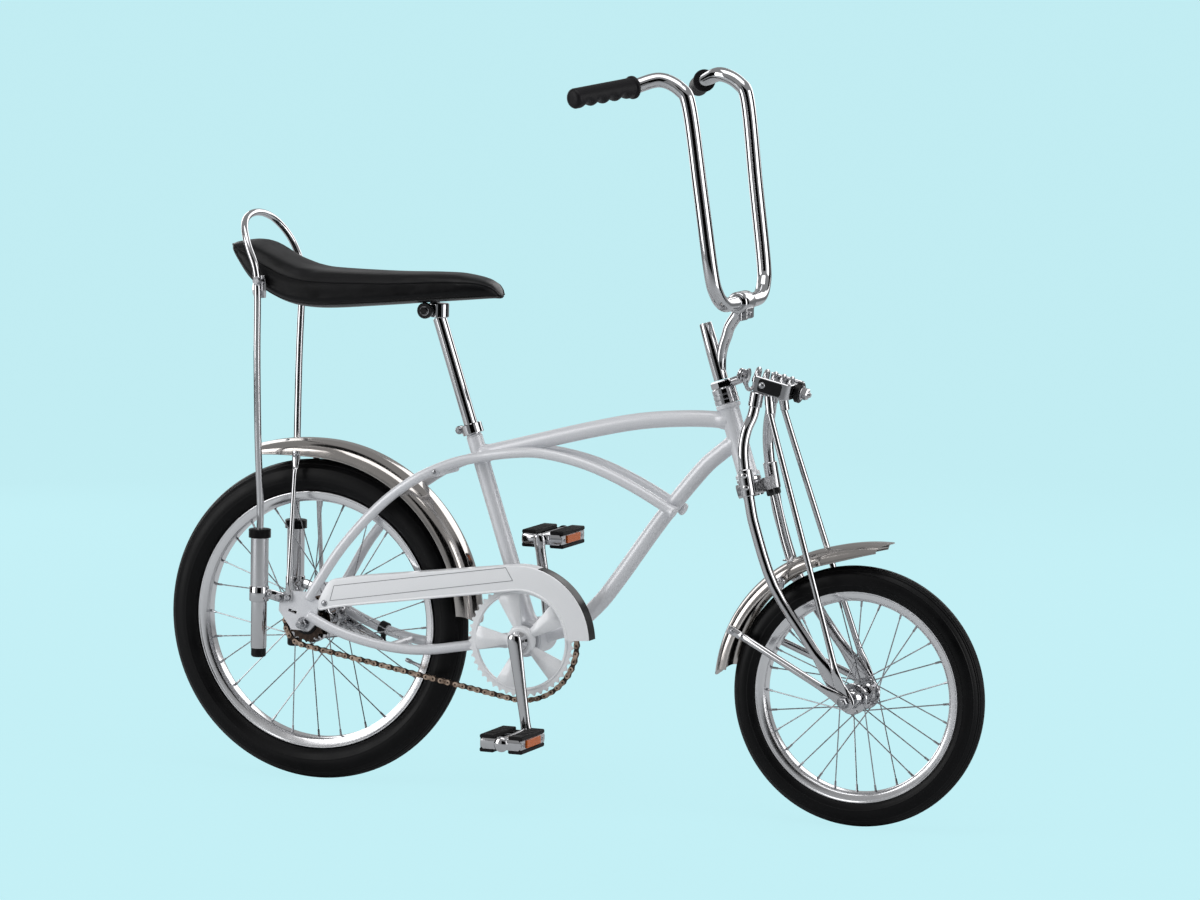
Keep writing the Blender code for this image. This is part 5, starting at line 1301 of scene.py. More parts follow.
def build_pedals():
    for name, hand in SIDES:
        axis = AXIS_Y * hand
        centre = BRACKET + (CRANK_DOWN if hand < 0 else -CRANK_DOWN) * CRANK_LENGTH
        body = "pedal_" + name
        inner = CRANK_ARM_Y + 0.0102
        outer = inner + PEDAL_LENGTH
        half = PEDAL_WIDTH / 2
        metal = [
            rod(centre + axis * (CRANK_ARM_Y - 0.004), centre + axis * (outer - 0.004), 0.006, 24),
            rod(centre + axis * inner, centre + axis * (outer - 0.002), 0.0098, 28, 0.0008),
            nut(centre + axis * (CRANK_ARM_Y + 0.0064), axis, 0.0085, 0.0036),
        ]
        metal.append(dome(centre + axis * (outer - 0.003), axis, 0.0122, 0.007, 32))
        outline = []
        for sx, sz in (
            (-1, -0.45), (-0.86, -1), (0.86, -1), (1, -0.45), (1, 0.45), (0.86, 1), (-0.86, 1), (-1, 0.45)
        ):
            outline.append((centre.x + half * sx, centre.z + 0.0082 * sz))
        for y in (inner + 0.0002, outer - 0.0028):
            metal.append(plate(outline, hand * y, hand * (y + 0.0024), 0.0005))
        for sx in (-1, 1):
            x0 = centre.x + sx * (half - 0.0018)
            x1 = centre.x + sx * half
            low = (min(x0, x1), min(hand * inner, hand * outer) + 0.001, centre.z - 0.007)
            high = (max(x0, x1), max(hand * inner, hand * outer) - 0.001, centre.z + 0.007)
            metal.append(block(low, high, 0.0004))
        nodes = ["pedal_cage_" + name]
        add_piece("pedal_frame_" + name, metal, "chrome", body, nodes, crease=30)
        rubber = []
        for sx in (-1, 1):
            for sz in (-1, 1):
                x0 = centre.x + sx * 0.0122
                x1 = centre.x + sx * (half + 0.001)
                z0 = centre.z + sz * 0.0072
                z1 = centre.z + sz * PEDAL_THICK / 2
                low = (min(x0, x1), min(hand * (inner + 0.003), hand * (outer - 0.0006)), min(z0, z1))
                high = (max(x0, x1), max(hand * (inner + 0.003), hand * (outer - 0.0006)), max(z0, z1))
                rubber.append(block(low, high, 0.0011))
                for k in range(5):
                    y = hand * (inner + 0.012 + 0.0145 * k)
                    z_top = centre.z + sz * (PEDAL_THICK / 2 + 0.0006)
                    z_low = centre.z + sz * (PEDAL_THICK / 2 - 0.002)
                    low = (min(x0, x1) + 0.003, y - 0.0028, min(z_top, z_low))
                    high = (max(x0, x1) - 0.003, y + 0.0028, max(z_top, z_low))
                    rubber.append(block(low, high, 0.0006))
        nodes = ["pedal_tread_front_" + name, "pedal_tread_rear_" + name]
        add_piece("pedal_blocks_" + name, rubber, "tread", body, nodes, crease=40)
        lenses = []
        screws = []
        middle = hand * (inner + outer) / 2
        for sx in (-1, 1):
            x = centre.x + sx * (half + 0.0008)
            low = (x - 0.0012, middle - 0.027, centre.z - 0.0062)
            high = (x + 0.0012, middle + 0.027, centre.z + 0.0062)
            lenses.append(block(low, high, 0.0005))
            for side in (-1, 1):
                spot = Vector((centre.x + sx * half, middle + side * 0.0365, centre.z))
                screws.append(dome(spot, AXIS_X * sx, 0.0032, 0.0012))
        add_piece("pedal_reflectors_" + name, lenses, "amber", body, crease=30)
        add_piece("pedal_screws_" + name, screws, "zinc", body)


# Saddle and post

SADDLE_SECTIONS = [
    # x, top z, bottom z, half width
    (-0.141, 0.8475, 0.8405, 0.044), (-0.135, 0.85, 0.833, 0.056), (-0.122, 0.849, 0.816, 0.066),
    (-0.1, 0.843, 0.787, 0.0725), (-0.075, 0.831, 0.77, 0.0745), (-0.047, 0.819, 0.757, 0.075),
    (-0.015, 0.8105, 0.7505, 0.075), (0.03, 0.808, 0.75, 0.073), (0.12, 0.808, 0.7585, 0.065),
    (0.195, 0.8105, 0.7665, 0.054), (0.254, 0.8105, 0.7725, 0.042), (0.283, 0.8055, 0.7755, 0.031),
    (0.298, 0.795, 0.7765, 0.02), (0.306, 0.781, 0.7745, 0.01),
]


def saddle_section(row, shrink):
    """A section of the saddle: a crowned top, upright sides and a flat base, drawn in by the shrink."""
    x, top, bottom, half = row
    top -= shrink
    half = max(0.004, half - shrink)
    height = max(0.006, top - bottom)
    points = []
    for k in range(48):
        angle = 2 * math.pi * (k + 0.5) / 48
        across = math.copysign(abs(math.cos(angle)) ** 0.45, math.cos(angle))
        up = math.copysign(abs(math.sin(angle)) ** (0.8 if math.sin(angle) > 0 else 0.62), math.sin(angle))
        tuck = 1.0 if up > -0.2 else 1.0 - 0.16 * ((-0.2 - up) / 0.8) ** 1.5
        points.append(Vector((x, half * across * tuck, bottom + height * (0.5 + 0.5 * up))))
    return points


def settle(obj):
    """Turns an object's modifiers into its mesh."""
    bpy.context.view_layer.update()
    mesh = bpy.data.meshes.new_from_object(obj.evaluated_get(bpy.context.evaluated_depsgraph_get()))
    obj.modifiers.clear()
    obj.data = mesh
    return mesh


def puff(obj, pins, cap):
    """Inflates a pad as pressurised cloth, held by its pins, and keeps each point within the cap."""
    frames = 20
    rest = [vertex.co.copy() for vertex in obj.data.vertices]
    group = obj.vertex_groups.new(name="pins")
    group.add(pins, 1.0, "REPLACE")
    cloth = obj.modifiers.new("puff", "CLOTH")
    settings = cloth.settings
    settings.quality = 6
    settings.mass = 0.35
    settings.use_pressure = True
    settings.uniform_pressure_force = 4.0
    settings.effector_weights.gravity = 0.0
    settings.tension_stiffness = 20
    settings.compression_stiffness = 20
    settings.bending_stiffness = 2.0
    settings.vertex_group_mass = "pins"
    cloth.collision_settings.use_collision = False
    cloth.point_cache.frame_start = 1
    cloth.point_cache.frame_end = frames
    scene = bpy.context.scene
    for number in range(1, frames + 1):
        scene.frame_set(number)
    shaped = obj.evaluated_get(bpy.context.evaluated_depsgraph_get())
    moved = [vertex.co.copy() for vertex in shaped.data.vertices]
    obj.modifiers.remove(cloth)
    for vertex, start, end in zip(obj.data.vertices, rest, moved):
        step = end - start
        if step.length > cap:
            step = step.normalized() * cap
        vertex.co = start + step
    scene.frame_set(1)


def build_saddle(sizes):
    rows = through(SADDLE_SECTIONS, 4)
    rise = sizes.pad_rise
    bm = loft([saddle_section(row, 0.6 * rise) for row in rows])
    pad = new_object("saddle_pad", to_packed_frame(bm))
    remesh = pad.modifiers.new("even", "REMESH")
    remesh.mode = "VOXEL"
    remesh.voxel_size = 0.0045
    even = settle(pad)
    pins = []
    for vertex in even.vertices:
        place = vertex.co + RIDER
        base = 0.0
        for one, two in zip(rows, rows[1:]):
            if one[0] <= place.x <= two[0]:
                share = (place.x - one[0]) / (two[0] - one[0])
                base = (one[2] + (two[2] - one[2]) * share) + 0.28 * (one[1] - one[2])
        if place.z < base or place.x < -0.137 or place.x > 0.3:
            pins.append(vertex.index)
    puff(pad, pins, rise)
    smooth = pad.modifiers.new("soften", "SMOOTH")
    smooth.factor = 0.5
    smooth.iterations = 4
    finer = pad.modifiers.new("finer", "SUBSURF")
    finer.levels = 1
    finer.render_levels = 1
    final = settle(pad)
    final.materials.clear()
    final.materials.append(finish_of("vinyl"))
    final.shade_smooth()
    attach(pad, "frame")
    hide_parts("saddle")

    welts = []
    for hand in (-1, 1):
        path = []
        for x, top, bottom, half in rows[2:-1]:
            guess = in_frame(x, hand * (half - 0.0025), top - 0.11 * (top - bottom) - 0.002)
            _, spot, normal, _ = pad.closest_point_on_mesh(guess)
            path.append(
                (*(spot + normal * 0.0002 + RIDER), sizes.welt_diameter / 2, sizes.welt_diameter / 2)
            )
        welts.append(swept(path, 10))
    add_piece("saddle_welts", welts, "vinyl", "frame", crease=60)
    edges = []
    for hand in (-1, 1):
        path = []
        for x, _, bottom, half in rows[3:-1]:
            guess = in_frame(x, hand * half * 0.84, bottom + 0.0015)
            _, spot, _, _ = pad.closest_point_on_mesh(guess)
            path.append((*(spot + RIDER), 0.0013, 0.0013))
        edges.append(swept(path, 10))
    add_piece("saddle_pan_edges", edges, "enamel", "frame", crease=60)


def build_saddle_post():
    axis = (on_seat_tube(1) - on_seat_tube(0)).normalized()
    post = rod(on_seat_tube(SEAT_TUBE_TOP - 0.075), on_seat_tube(POST_TOP), POST_RADIUS, 36, 0.001)
    add_piece("chromed_post", post, "chrome", "frame", ["seat_post"], crease=40)
    base = on_seat_tube(SEAT_TUBE_TOP) + axis * SEAT_GAP
    ring = [
        (0.0004, 0.0111), (0, 0.012), (0, 0.016), (0.0008, 0.0166), (0.015, 0.0166), (0.016, 0.0158),
        (0.016, 0.012), (0.0156, 0.0111),
    ]
    ear = base + axis * 0.008 + Vector((-0.02, 0, -0.003))
    ears = [turned(ring, base, axis, 48)]
    for hand in (-1, 1):
        start = ear + AXIS_Y * hand * 0.0016
        ears.append(rod(start, start + AXIS_Y * hand * 0.004, 0.0066, 24, 0.0006))
        ears.append(block(start + Vector((0.0, -0.0001, -0.0055)), start + Vector((0.01, 0.0001, 0.0055))))
    add_piece("post_collar", ears, "chrome", "frame", ["seat_collar"], crease=30)
    bolt = joined(
        rod(ear - AXIS_Y * 0.01, ear + AXIS_Y * 0.01, 0.003, 14),
        dome(ear - AXIS_Y * 0.0056, -AXIS_Y, 0.0058, 0.0044),
        nut(ear + AXIS_Y * 0.0056, AXIS_Y, 0.0056, 0.0045),
    )
    add_piece("post_collar_bolt", bolt, "zinc", "frame", crease=30)
    top = on_seat_tube(POST_TOP)
    knob = Vector((top.x - 0.016, 0, POST_TOP + 0.011))
    clamp = [
        rod(top + Vector((0, 0, 0.0003)), Vector((top.x, 0, 0.764)), POST_RADIUS + 0.0038, 32, 0.001),
        rod(knob - AXIS_Y * 0.024, knob + AXIS_Y * 0.024, 0.008, 28, 0.0008),
    ]
    add_piece("saddle_clamp_body", clamp, "chrome", "frame", ["saddle_clamp"], crease=30)
    serrated = []
    for hand in (-1, 1):
        start = knob + AXIS_Y * hand * 0.0165
        serrated.append(
            turned(
                [(0, 0), (0, 0.0112), (0.001, 0.0125), (0.006, 0.0125), (0.007, 0.0114), (0.007, 0)],
                start, AXIS_Y * hand, 36,
            )
        )
        serrated.append(nut(start + AXIS_Y * hand * 0.007, AXIS_Y * hand, 0.0064, 0.004))
    add_piece("saddle_clamp_discs", serrated, "enamel", "frame", ["saddle_clamp"], crease=28)


# Springer fork

FORK_LEG_LINE = [
    # x, y, z, half width across, half depth
    (0.7385, 0.035, 0.646, 0.0083, 0.0083), (0.735, 0.04, 0.622, 0.0083, 0.0083),
    (0.729, 0.049, 0.601, 0.0083, 0.0083), (0.7265, 0.055, 0.574, 0.0083, 0.0083),
    (0.73, 0.056, 0.54, 0.0083, 0.0083), (0.739, 0.056, 0.495, 0.0083, 0.0083),
    (0.749, 0.056, 0.453, 0.0083, 0.0083), (0.7815, 0.0565, 0.367, 0.0083, 0.0083),
    (0.837, 0.058, 0.289, 0.0083, 0.0083), (0.856, 0.0595, 0.264, 0.007, 0.0088),
    (0.875, 0.0605, 0.238, 0.003, 0.012), (0.892, 0.0605, 0.215, 0.0025, 0.0125),
    (0.905, 0.0605, 0.196, 0.0025, 0.0115), (0.91, 0.0605, 0.189, 0.0025, 0.006),
]


def build_fork():
    for name, hand in SIDES:
        axis = AXIS_Y * hand
        leg = bent(FORK_LEG_LINE, 4, 26, hand)
        add_piece("spring_leg_" + name, leg, "chrome", "steering", ["fork_leg_" + name], crease=50)
        rows = [
            (0.7585, 0.031, 0.643, 0.0048, 0.0048), (0.76, 0.032, 0.626, 0.0048, 0.0048),
            (0.817, 0.0455, 0.453, 0.0048, 0.0048), (0.874, 0.06, 0.281, 0.0048, 0.0048),
            (0.886, 0.067, 0.245, 0.0035, 0.0065), (0.896, TRUSS_EYE_Y, 0.215, 0.0018, 0.01),
            (0.903, TRUSS_EYE_Y, 0.198, 0.0018, 0.0105), (0.9065, TRUSS_EYE_Y, 0.1885, 0.0018, 0.0065),
        ]
        strut = bent(rows, 3, 20, hand)
        add_piece("truss_" + name, strut, "chrome", "steering", ["truss_rod_" + name], crease=50)
        bolts = []
        for x, z in ((0.7318, 0.533), (0.7352, 0.515)):
            bolts.append(dome(Vector((x, hand * 0.064, z)), axis, 0.006, 0.0036))
            bolts.append(
                rod(Vector((x, hand * 0.056, z)), Vector((x, hand * 0.0645, z)), 0.0066, 24, 0.0006)
            )
        add_piece("leg_bolts_" + name, bolts, "chrome", "steering", crease=30)
        start = Vector((0.7298, hand * 0.056, 0.542))
        end = Vector((0.7378, hand * 0.056, 0.502))
        sleeve = [
            (0, 0.0086), (0, 0.0102), (0.001, 0.0108), ((end - start).length - 0.001, 0.0108),
            ((end - start).length, 0.0102), ((end - start).length, 0.0086),
        ]
        add_piece(
            "leg_sleeve_" + name, turned(sleeve, start, (end - start).normalized(), 36), "chrome",
            "steering", crease=30,
        )
    dress_solid("fork_crown", "zinc", 0.0025)
    hanger = []
    for hand in (-1, 1):
        hanger.append(
            bent(
                [
                    (0.756, 0.013, 0.506, 0.003, 0.003), (0.76, 0.013, 0.496, 0.003, 0.003),
                    (0.775, 0.013, 0.44, 0.003, 0.003), (0.788, 0.013, 0.401, 0.003, 0.003),
                ],
                4, 14, hand,
            )
        )
    hanger.append(block((0.78, -0.018, 0.401), (0.798, 0.018, 0.403), 0.0008))
    add_piece("fender_hanger", hanger, "chrome", "steering", crease=40)
    caps = []
    for hand in (-1, 1):
        spot = Vector((0.756, hand * 0.013, 0.509))
        caps.append(nut(spot, Vector((0.25, 0, -0.97)).normalized(), 0.0066, 0.01))
    add_piece("hanger_nuts", caps, "enamel", "steering", crease=30)
    clips = []
    for _, hand in SIDES:
        clips.append(
            bent(
                [
                    (0.779, 0.0325, 0.377, 0.0012, 0.0075), (0.783, 0.034, 0.37, 0.0012, 0.0085),
                    (0.786, 0.042, 0.364, 0.0012, 0.008), (0.788, 0.048, 0.36, 0.0012, 0.0065),
                ],
                3, 16, hand,
            )
        )
        clips.append(dome(Vector((0.782, hand * 0.0345, 0.373)), AXIS_Y * hand, 0.0036, 0.002))
    add_piece("fender_clips", clips, "chrome", "steering", crease=40)
    outer = BRACE_EYE_Y + 0.0021
    parts = [rod(FRONT_AXLE - AXIS_Y * outer, FRONT_AXLE + AXIS_Y * outer, 0.0048, 16)]
    for hand in (-1, 1):
        axis = AXIS_Y * hand
        parts.append(nut(FRONT_AXLE + axis * outer, axis, 0.0085, 0.0068, 0.01))
        parts.append(
            rod(
                FRONT_AXLE + axis * (outer + 0.006), FRONT_AXLE + axis * (outer + 0.012), 0.0047, 16, 0.0008
            )
        )
        parts.append(rod(FRONT_AXLE + axis * 0.0385, FRONT_AXLE + axis * 0.0575, 0.0082, 24, 0.0008))
    add_piece("front_axle_nuts", parts, "zinc", "steering", ["front_axle"], crease=25)


def build_spring():
    wire = 0.0032
    radius = 0.0175
    turns = 5
    steps = 28
    first, second = square_to(SPRING_AXIS)
    length = (SPRING_FRONT - SPRING_REAR).length - 2 * (wire + SEAT_GAP)
    start = SPRING_REAR + SPRING_AXIS * (wire + SEAT_GAP)
    sections = []
    for i in range(turns * steps + 1):
        angle = 2 * math.pi * i / steps
        out = first * math.cos(angle) + second * math.sin(angle)
        middle = start + SPRING_AXIS * length * i / (turns * steps) + out * radius
        section = []
        for k in range(12):
            turn = 2 * math.pi * k / 12
            section.append(middle + (out * math.cos(turn) + SPRING_AXIS * math.sin(turn)) * wire)
        sections.append(section)
    add_piece("coil_spring", loft(sections), "chrome", "steering", ["fork_spring"], crease=60)

    front = SPRING_FRONT + SPRING_AXIS * SEAT_GAP
    half, sheet, tall = 0.036, 0.004, 0.012
    strap = [(-0.052, half, -0.052, half - sheet), (-0.03, half, -0.03, half - sheet)]
    for k in range(6):
        angle = math.pi / 2 * k / 5
        soft = 0.006
        tight = 0.002
        strap.append(
            (
                sheet - soft + soft * math.sin(angle), half - soft + soft * math.cos(angle),
                -tight + tight * math.sin(angle), half - sheet - tight + tight * math.cos(angle),
            )
        )
    strap += [(a, -b, c, -d) for a, b, c, d in reversed(strap)]
    sections = []
    soft = 0.001
    for out_along, out_across, in_along, in_across in strap:
        section = []
        toward = Vector((in_along - out_along, in_across - out_across)).normalized()
        for along, across, drop, tuck in (
            (out_along, out_across, -tall, 1), (out_along, out_across, tall, 1),
            (in_along, in_across, tall, -1), (in_along, in_across, -tall, -1),
        ):
            flat = math.copysign(tall - soft, drop)
            one = (along, across, flat)
            two = (along + toward.x * soft * tuck, across + toward.y * soft * tuck, drop)
            pair = (two, one) if (drop < 0) == (tuck > 0) else (one, two)
            for a, b, c in pair:
                section.append(front + SPRING_AXIS * a + AXIS_Y * b + SPRING_DOWN * c)
        sections.append(section)
    boss = [(-0.002, 0), (-0.002, 0.012), (sheet + 0.0012, 0.012), (sheet + 0.0012, 0)]
    bolt = [
        (-0.068, 0), (-0.068, 0.0045), (sheet + 0.021, 0.0045), (sheet + 0.024, 0.003), (sheet + 0.024, 0)
    ]
    parts = [
        loft(sections), turned(boss, front, SPRING_AXIS, 32), turned(bolt, front, SPRING_AXIS, 20),
        nut(front + SPRING_AXIS * (sheet + 0.0092), SPRING_AXIS, 0.0098, 0.0095, 0.0112),
    ]
    add_piece("spring_strap", parts, "chrome", "steering", ["spring_yoke"], crease=30)
    washer = [
        (sheet + 0.001, 0.005), (sheet + 0.001, 0.015), (sheet + 0.002, 0.0162), (sheet + 0.008, 0.0162),
        (sheet + 0.009, 0.015), (sheet + 0.009, 0.005),
    ]
    add_piece(
        "spring_washer", turned(washer, front, SPRING_AXIS, 40), "cap", "steering", ["spring_yoke"],
        crease=30,
    )
    panels = []
    bolts = []
    for hand in (-1, 1):
        sections = []
        for along, tuck in ((-0.046, 0.6), (-0.044, 0.95), (-0.01, 0.95), (-0.008, 0.6)):
            section = []
            for drop, lift in ((-1, 0.0), (-1, 0.0008), (1, 0.0008), (1, 0.0)):
                point = front + SPRING_AXIS * along + AXIS_Y * hand * (half + lift)
                section.append(point + SPRING_DOWN * drop * (tall - 0.0016) * tuck)
            sections.append(section)
        panels.append(loft(sections))
        spot = front + SPRING_AXIS * -0.04 + AXIS_Y * hand * half
        bolts.append(dome(spot, AXIS_Y * hand, 0.0056, 0.0034))
    add_piece("strap_panels", panels, "enamel", "steering", crease=30)
    add_piece("strap_bolts", bolts, "zinc", "steering")
    sockets = []
    for hand in (-1, 1):
        for x, y, z, dx, dz, wide in (
            (0.7398, 0.0345, 0.658, -0.003, -0.022, 0.0106), (0.7572, 0.0312, 0.6538, 0.004, -0.028, 0.007)
        ):
            start = Vector((x, hand * y, z))
            end = start + Vector((dx, hand * 0.0015, dz))
            sockets.append(rod(start, end, wide, 28, 0.001))
    add_piece("leg_sockets", sockets, "chrome", "steering", crease=30)


def build_headset():
    under = -HEAD_LENGTH - 0.0006
    wide = HEAD_RADIUS + 0.0035
    profile = [
        (under - 0.03, 0), (under - 0.03, 0.0165), (under - 0.007, 0.0165), (under - 0.006, wide - 0.001),
        (under - 0.005, wide), (under - 0.001, wide), (under, wide - 0.0008), (under, 0.0125),
        (0.0006, 0.0125), (0.0006, wide - 0.0008), (0.0014, wide), (0.0072, wide), (0.008, wide - 0.001),
        (0.0088, wide - 0.001), (0.0092, wide - 0.0002), (0.0146, wide - 0.0002), (0.0154, wide - 0.0012),
        (0.0162, wide - 0.0012), (0.0168, wide - 0.0004), (0.0238, wide - 0.0004), (0.026, wide - 0.0026),
        (0.026, 0),
    ]
    lug = on_steering(0.03, HEAD_RADIUS - 0.002)
    tip = SPRING_REAR - SPRING_AXIS * 0.0033
    parts = [
        turned(profile, HEAD_TOP, STEER_UP, 44),
        nut(on_steering(0.0262), STEER_UP, 0.0182, 0.011),
        rod(lug, tip, 0.0068, 24),
        turned(
            [(0, 0), (0, 0.0125), (0.001, 0.0138), (0.0024, 0.0138), (0.0031, 0.0125), (0.0031, 0)],
            tip, SPRING_AXIS, 36,
        ),
    ]
    for k in range(2):
        spot = tip - SPRING_AXIS * (0.0025 + 0.0055 * k)
        parts.append(
            turned(
                [(0, 0.006), (0, 0.01), (0.001, 0.011), (0.003, 0.011), (0.004, 0.01), (0.004, 0.006)],
                spot - SPRING_AXIS * 0.004, SPRING_AXIS, 32,
            )
        )
    add_piece("steering_bearings", parts, "chrome", "steering", ["headset"], crease=30)


def build_stem():
    quill = [
        (0.0383, 0), (0.0383, 0.0111), (0.08, 0.0111), (0.1265, 0.0096), (0.128, 0.009), (0.128, 0.0062),
        (0.115, 0.006), (0.115, 0),
    ]
    arm = [
        (*on_steering(0.05, 0.004), 0.0085, 0.007), (*on_steering(0.07, 0.01), 0.0088, 0.0074),
        (*on_steering(0.086, 0.018), 0.0088, 0.008), (*on_steering(0.1, 0.028), 0.0088, 0.0085),
        (0.68, 0, 0.752, 0.0092, 0.0088), (0.69, 0, 0.768, 0.01, 0.0092),
        (CLAMP.x, 0, CLAMP.z - 0.008, 0.014, 0.0095),
    ]
    sections = []
    lip = ((-0.0218, 0.0128), (-0.0213, 0.0146), (-0.0202, 0.0158), (-0.0184, 0.0166))
    for along, radius in lip + tuple((-along, radius) for along, radius in reversed(lip)):
        middle = CLAMP + AXIS_Y * along
        section = []
        for k in range(40):
            angle = math.radians(-62 + 304 * k / 39)
            section.append(middle + (AXIS_X * math.sin(angle) - AXIS_Z * math.cos(angle)) * radius)
        for k in range(40):
            angle = math.radians(242 - 304 * k / 39)
            section.append(middle + (AXIS_X * math.sin(angle) - AXIS_Z * math.cos(angle)) * 0.0113)
        sections.append(section)
    parts = [
        turned(quill, HEAD_TOP, STEER_UP, 36), bent(arm, 5, 26), loft(sections),
        turned([(-0.0218, 0.0113), (-0.0216, 0.013), (0.0216, 0.013), (0.0218, 0.0113)], CLAMP, AXIS_Y, 40),
    ]
    low = Vector((CLAMP.x + 0.0085, 0, CLAMP.z - 0.0175))
    for lean in (-1, 1):
        shift = Vector((0.0045 * lean, 0, 0.0018 * lean))
        parts.append(
            block(
                low + shift + Vector((-0.0022, -0.015, -0.0085)),
                low + shift + Vector((0.0022, 0.015, 0.0085)), 0.0012,
            )
        )
    add_piece("bar_stem", parts, "chrome", "steering", ["stem"], crease=35)
    bolt = joined(
        nut(low + Vector((0.0066, -0.009, -0.001)), AXIS_X, 0.0056, 0.0045),
        rod(low - AXIS_X * 0.01 - AXIS_Y * 0.009, low + AXIS_X * 0.011 - AXIS_Y * 0.009, 0.003, 14),
        dome(low + Vector((-0.0068, -0.009, 0)), -AXIS_X, 0.0054, 0.0036),
        nut(on_steering(0.115), STEER_UP, 0.0056, 0.008),
    )
    add_piece("stem_bolts", bolt, "zinc", "steering", crease=30)


BAR_LINE = [
    (CLAMP.x, 0.0, CLAMP.z), (CLAMP.x, 0.03, CLAMP.z), (CLAMP.x, 0.052, CLAMP.z),
    (CLAMP.x, 0.08, CLAMP.z + 0.003), (0.696, 0.103, 0.81), (0.691, 0.115, 0.844), (0.673, 0.12, 0.966),
    (0.655, 0.126, 1.088), (0.64, 0.127, 1.116), (0.608, 0.13, 1.129), tuple(GRIP_START),
]


def build_handlebar():
    half = through(BAR_LINE, 8)
    half.append(tuple(GRIP_START + GRIP_AXIS * 0.02))
    half.append(tuple(GRIP_START + GRIP_AXIS * (GRIP_LENGTH - 0.006)))
    rows = [(x, y, z, BAR_RADIUS, BAR_RADIUS) for x, y, z in mirrored(half)]
    add_piece("high_bar", swept(rows, 28, AXIS_X), "chrome", "steering", ["handlebar"], crease=60)


def build_grips(sizes):
    for name, hand in SIDES:
        start = Vector((GRIP_START.x, hand * GRIP_START.y, GRIP_START.z))
        axis = Vector((GRIP_AXIS.x, hand * GRIP_AXIS.y, GRIP_AXIS.z))
        down = (-AXIS_Z + axis * axis.z).normalized()
        front = axis.cross(down)
        stations = [
            (0.0, 0.0122), (0.0, 0.016), (0.0012, 0.0172), (0.004, 0.0172), (0.0052, 0.016), (0.0062, 0.015)
        ]
        count = 88
        for k in range(count + 1):
            stations.append((0.0062 + (GRIP_LENGTH - 0.0112) * k / count, 0.015))
        stations += [
            (GRIP_LENGTH - 0.0035, 0.0143), (GRIP_LENGTH - 0.0012, 0.0125), (GRIP_LENGTH, 0.0095),
            (GRIP_LENGTH, 0.004),
        ]
        sections = []
        for along, radius in stations:
            section = []
            wave = 0.0
            if 0.016 < along < GRIP_LENGTH - 0.012 and radius == 0.015:
                phase = (along - 0.016) / (GRIP_LENGTH - 0.028) * 4
                wave = sizes.grip_groove * (0.5 - 0.5 * math.cos(2 * math.pi * phase))
            for i in range(40):
                angle = 2 * math.pi * i / 40
                under = max(0.0, math.cos(angle)) ** 0.8
                ribs = 0.0
                if radius == 0.015 and under < 0.5 and round(along * 1000 / 1.3) % 2:
                    ribs = 0.00025
                reach = radius + 0.0006 * under - wave * under - ribs
                section.append(
                    start + axis * along + (down * math.cos(angle) + front * math.sin(angle)) * reach
                )
            sections.append(section)
        add_piece("finger_grip_" + name, loft(sections), "grip", "steering", ["grip_" + name], crease=45)


# Stage


def seen_from(azimuth, elevation):
    """The direction towards a lamp or a camera, from degrees round and degrees up."""
    a, e = math.radians(azimuth), math.radians(elevation)
    return Vector((math.sin(a) * math.cos(e), -math.cos(a) * math.cos(e), math.sin(e)))


def facing(back):
    """The turn of a lamp or a card that faces the bicycle from a direction."""
    return (-back).to_track_quat("-Z", "Y")


def card(name, place, turn, wide, tall, material):
    """A flat card of the stage, wide and tall about its place."""
    bm = bmesh.new()
    corners = []
    for x, y in ((-1, -1), (1, -1), (1, 1), (-1, 1)):
        corners.append(bm.verts.new(place + turn @ Vector((x * wide / 2, y * tall / 2, 0))))
    bm.faces.new(corners)
    obj = new_object(name, bm, material)
    return obj


def split_by_ray(tree, output, mirrored_shade, seen_shade):
    """Shows one shade to the camera and through clear pieces, and another to every other ray."""
    rays = add_node(tree, "ShaderNodeLightPath")
    clear = add_node(
        tree, "ShaderNodeMath", settings={"operation": "MAXIMUM"},
        sources={0: rays.outputs["Is Camera Ray"], 1: rays.outputs["Is Transmission Ray"]},
    )
    add_node(
        tree, "ShaderNodeMixShader",
        sources={0: clear.outputs[0], 1: mirrored_shade.outputs[0], 2: seen_shade.outputs[0]},
        target=add_node(tree, output).inputs["Surface"],
    )


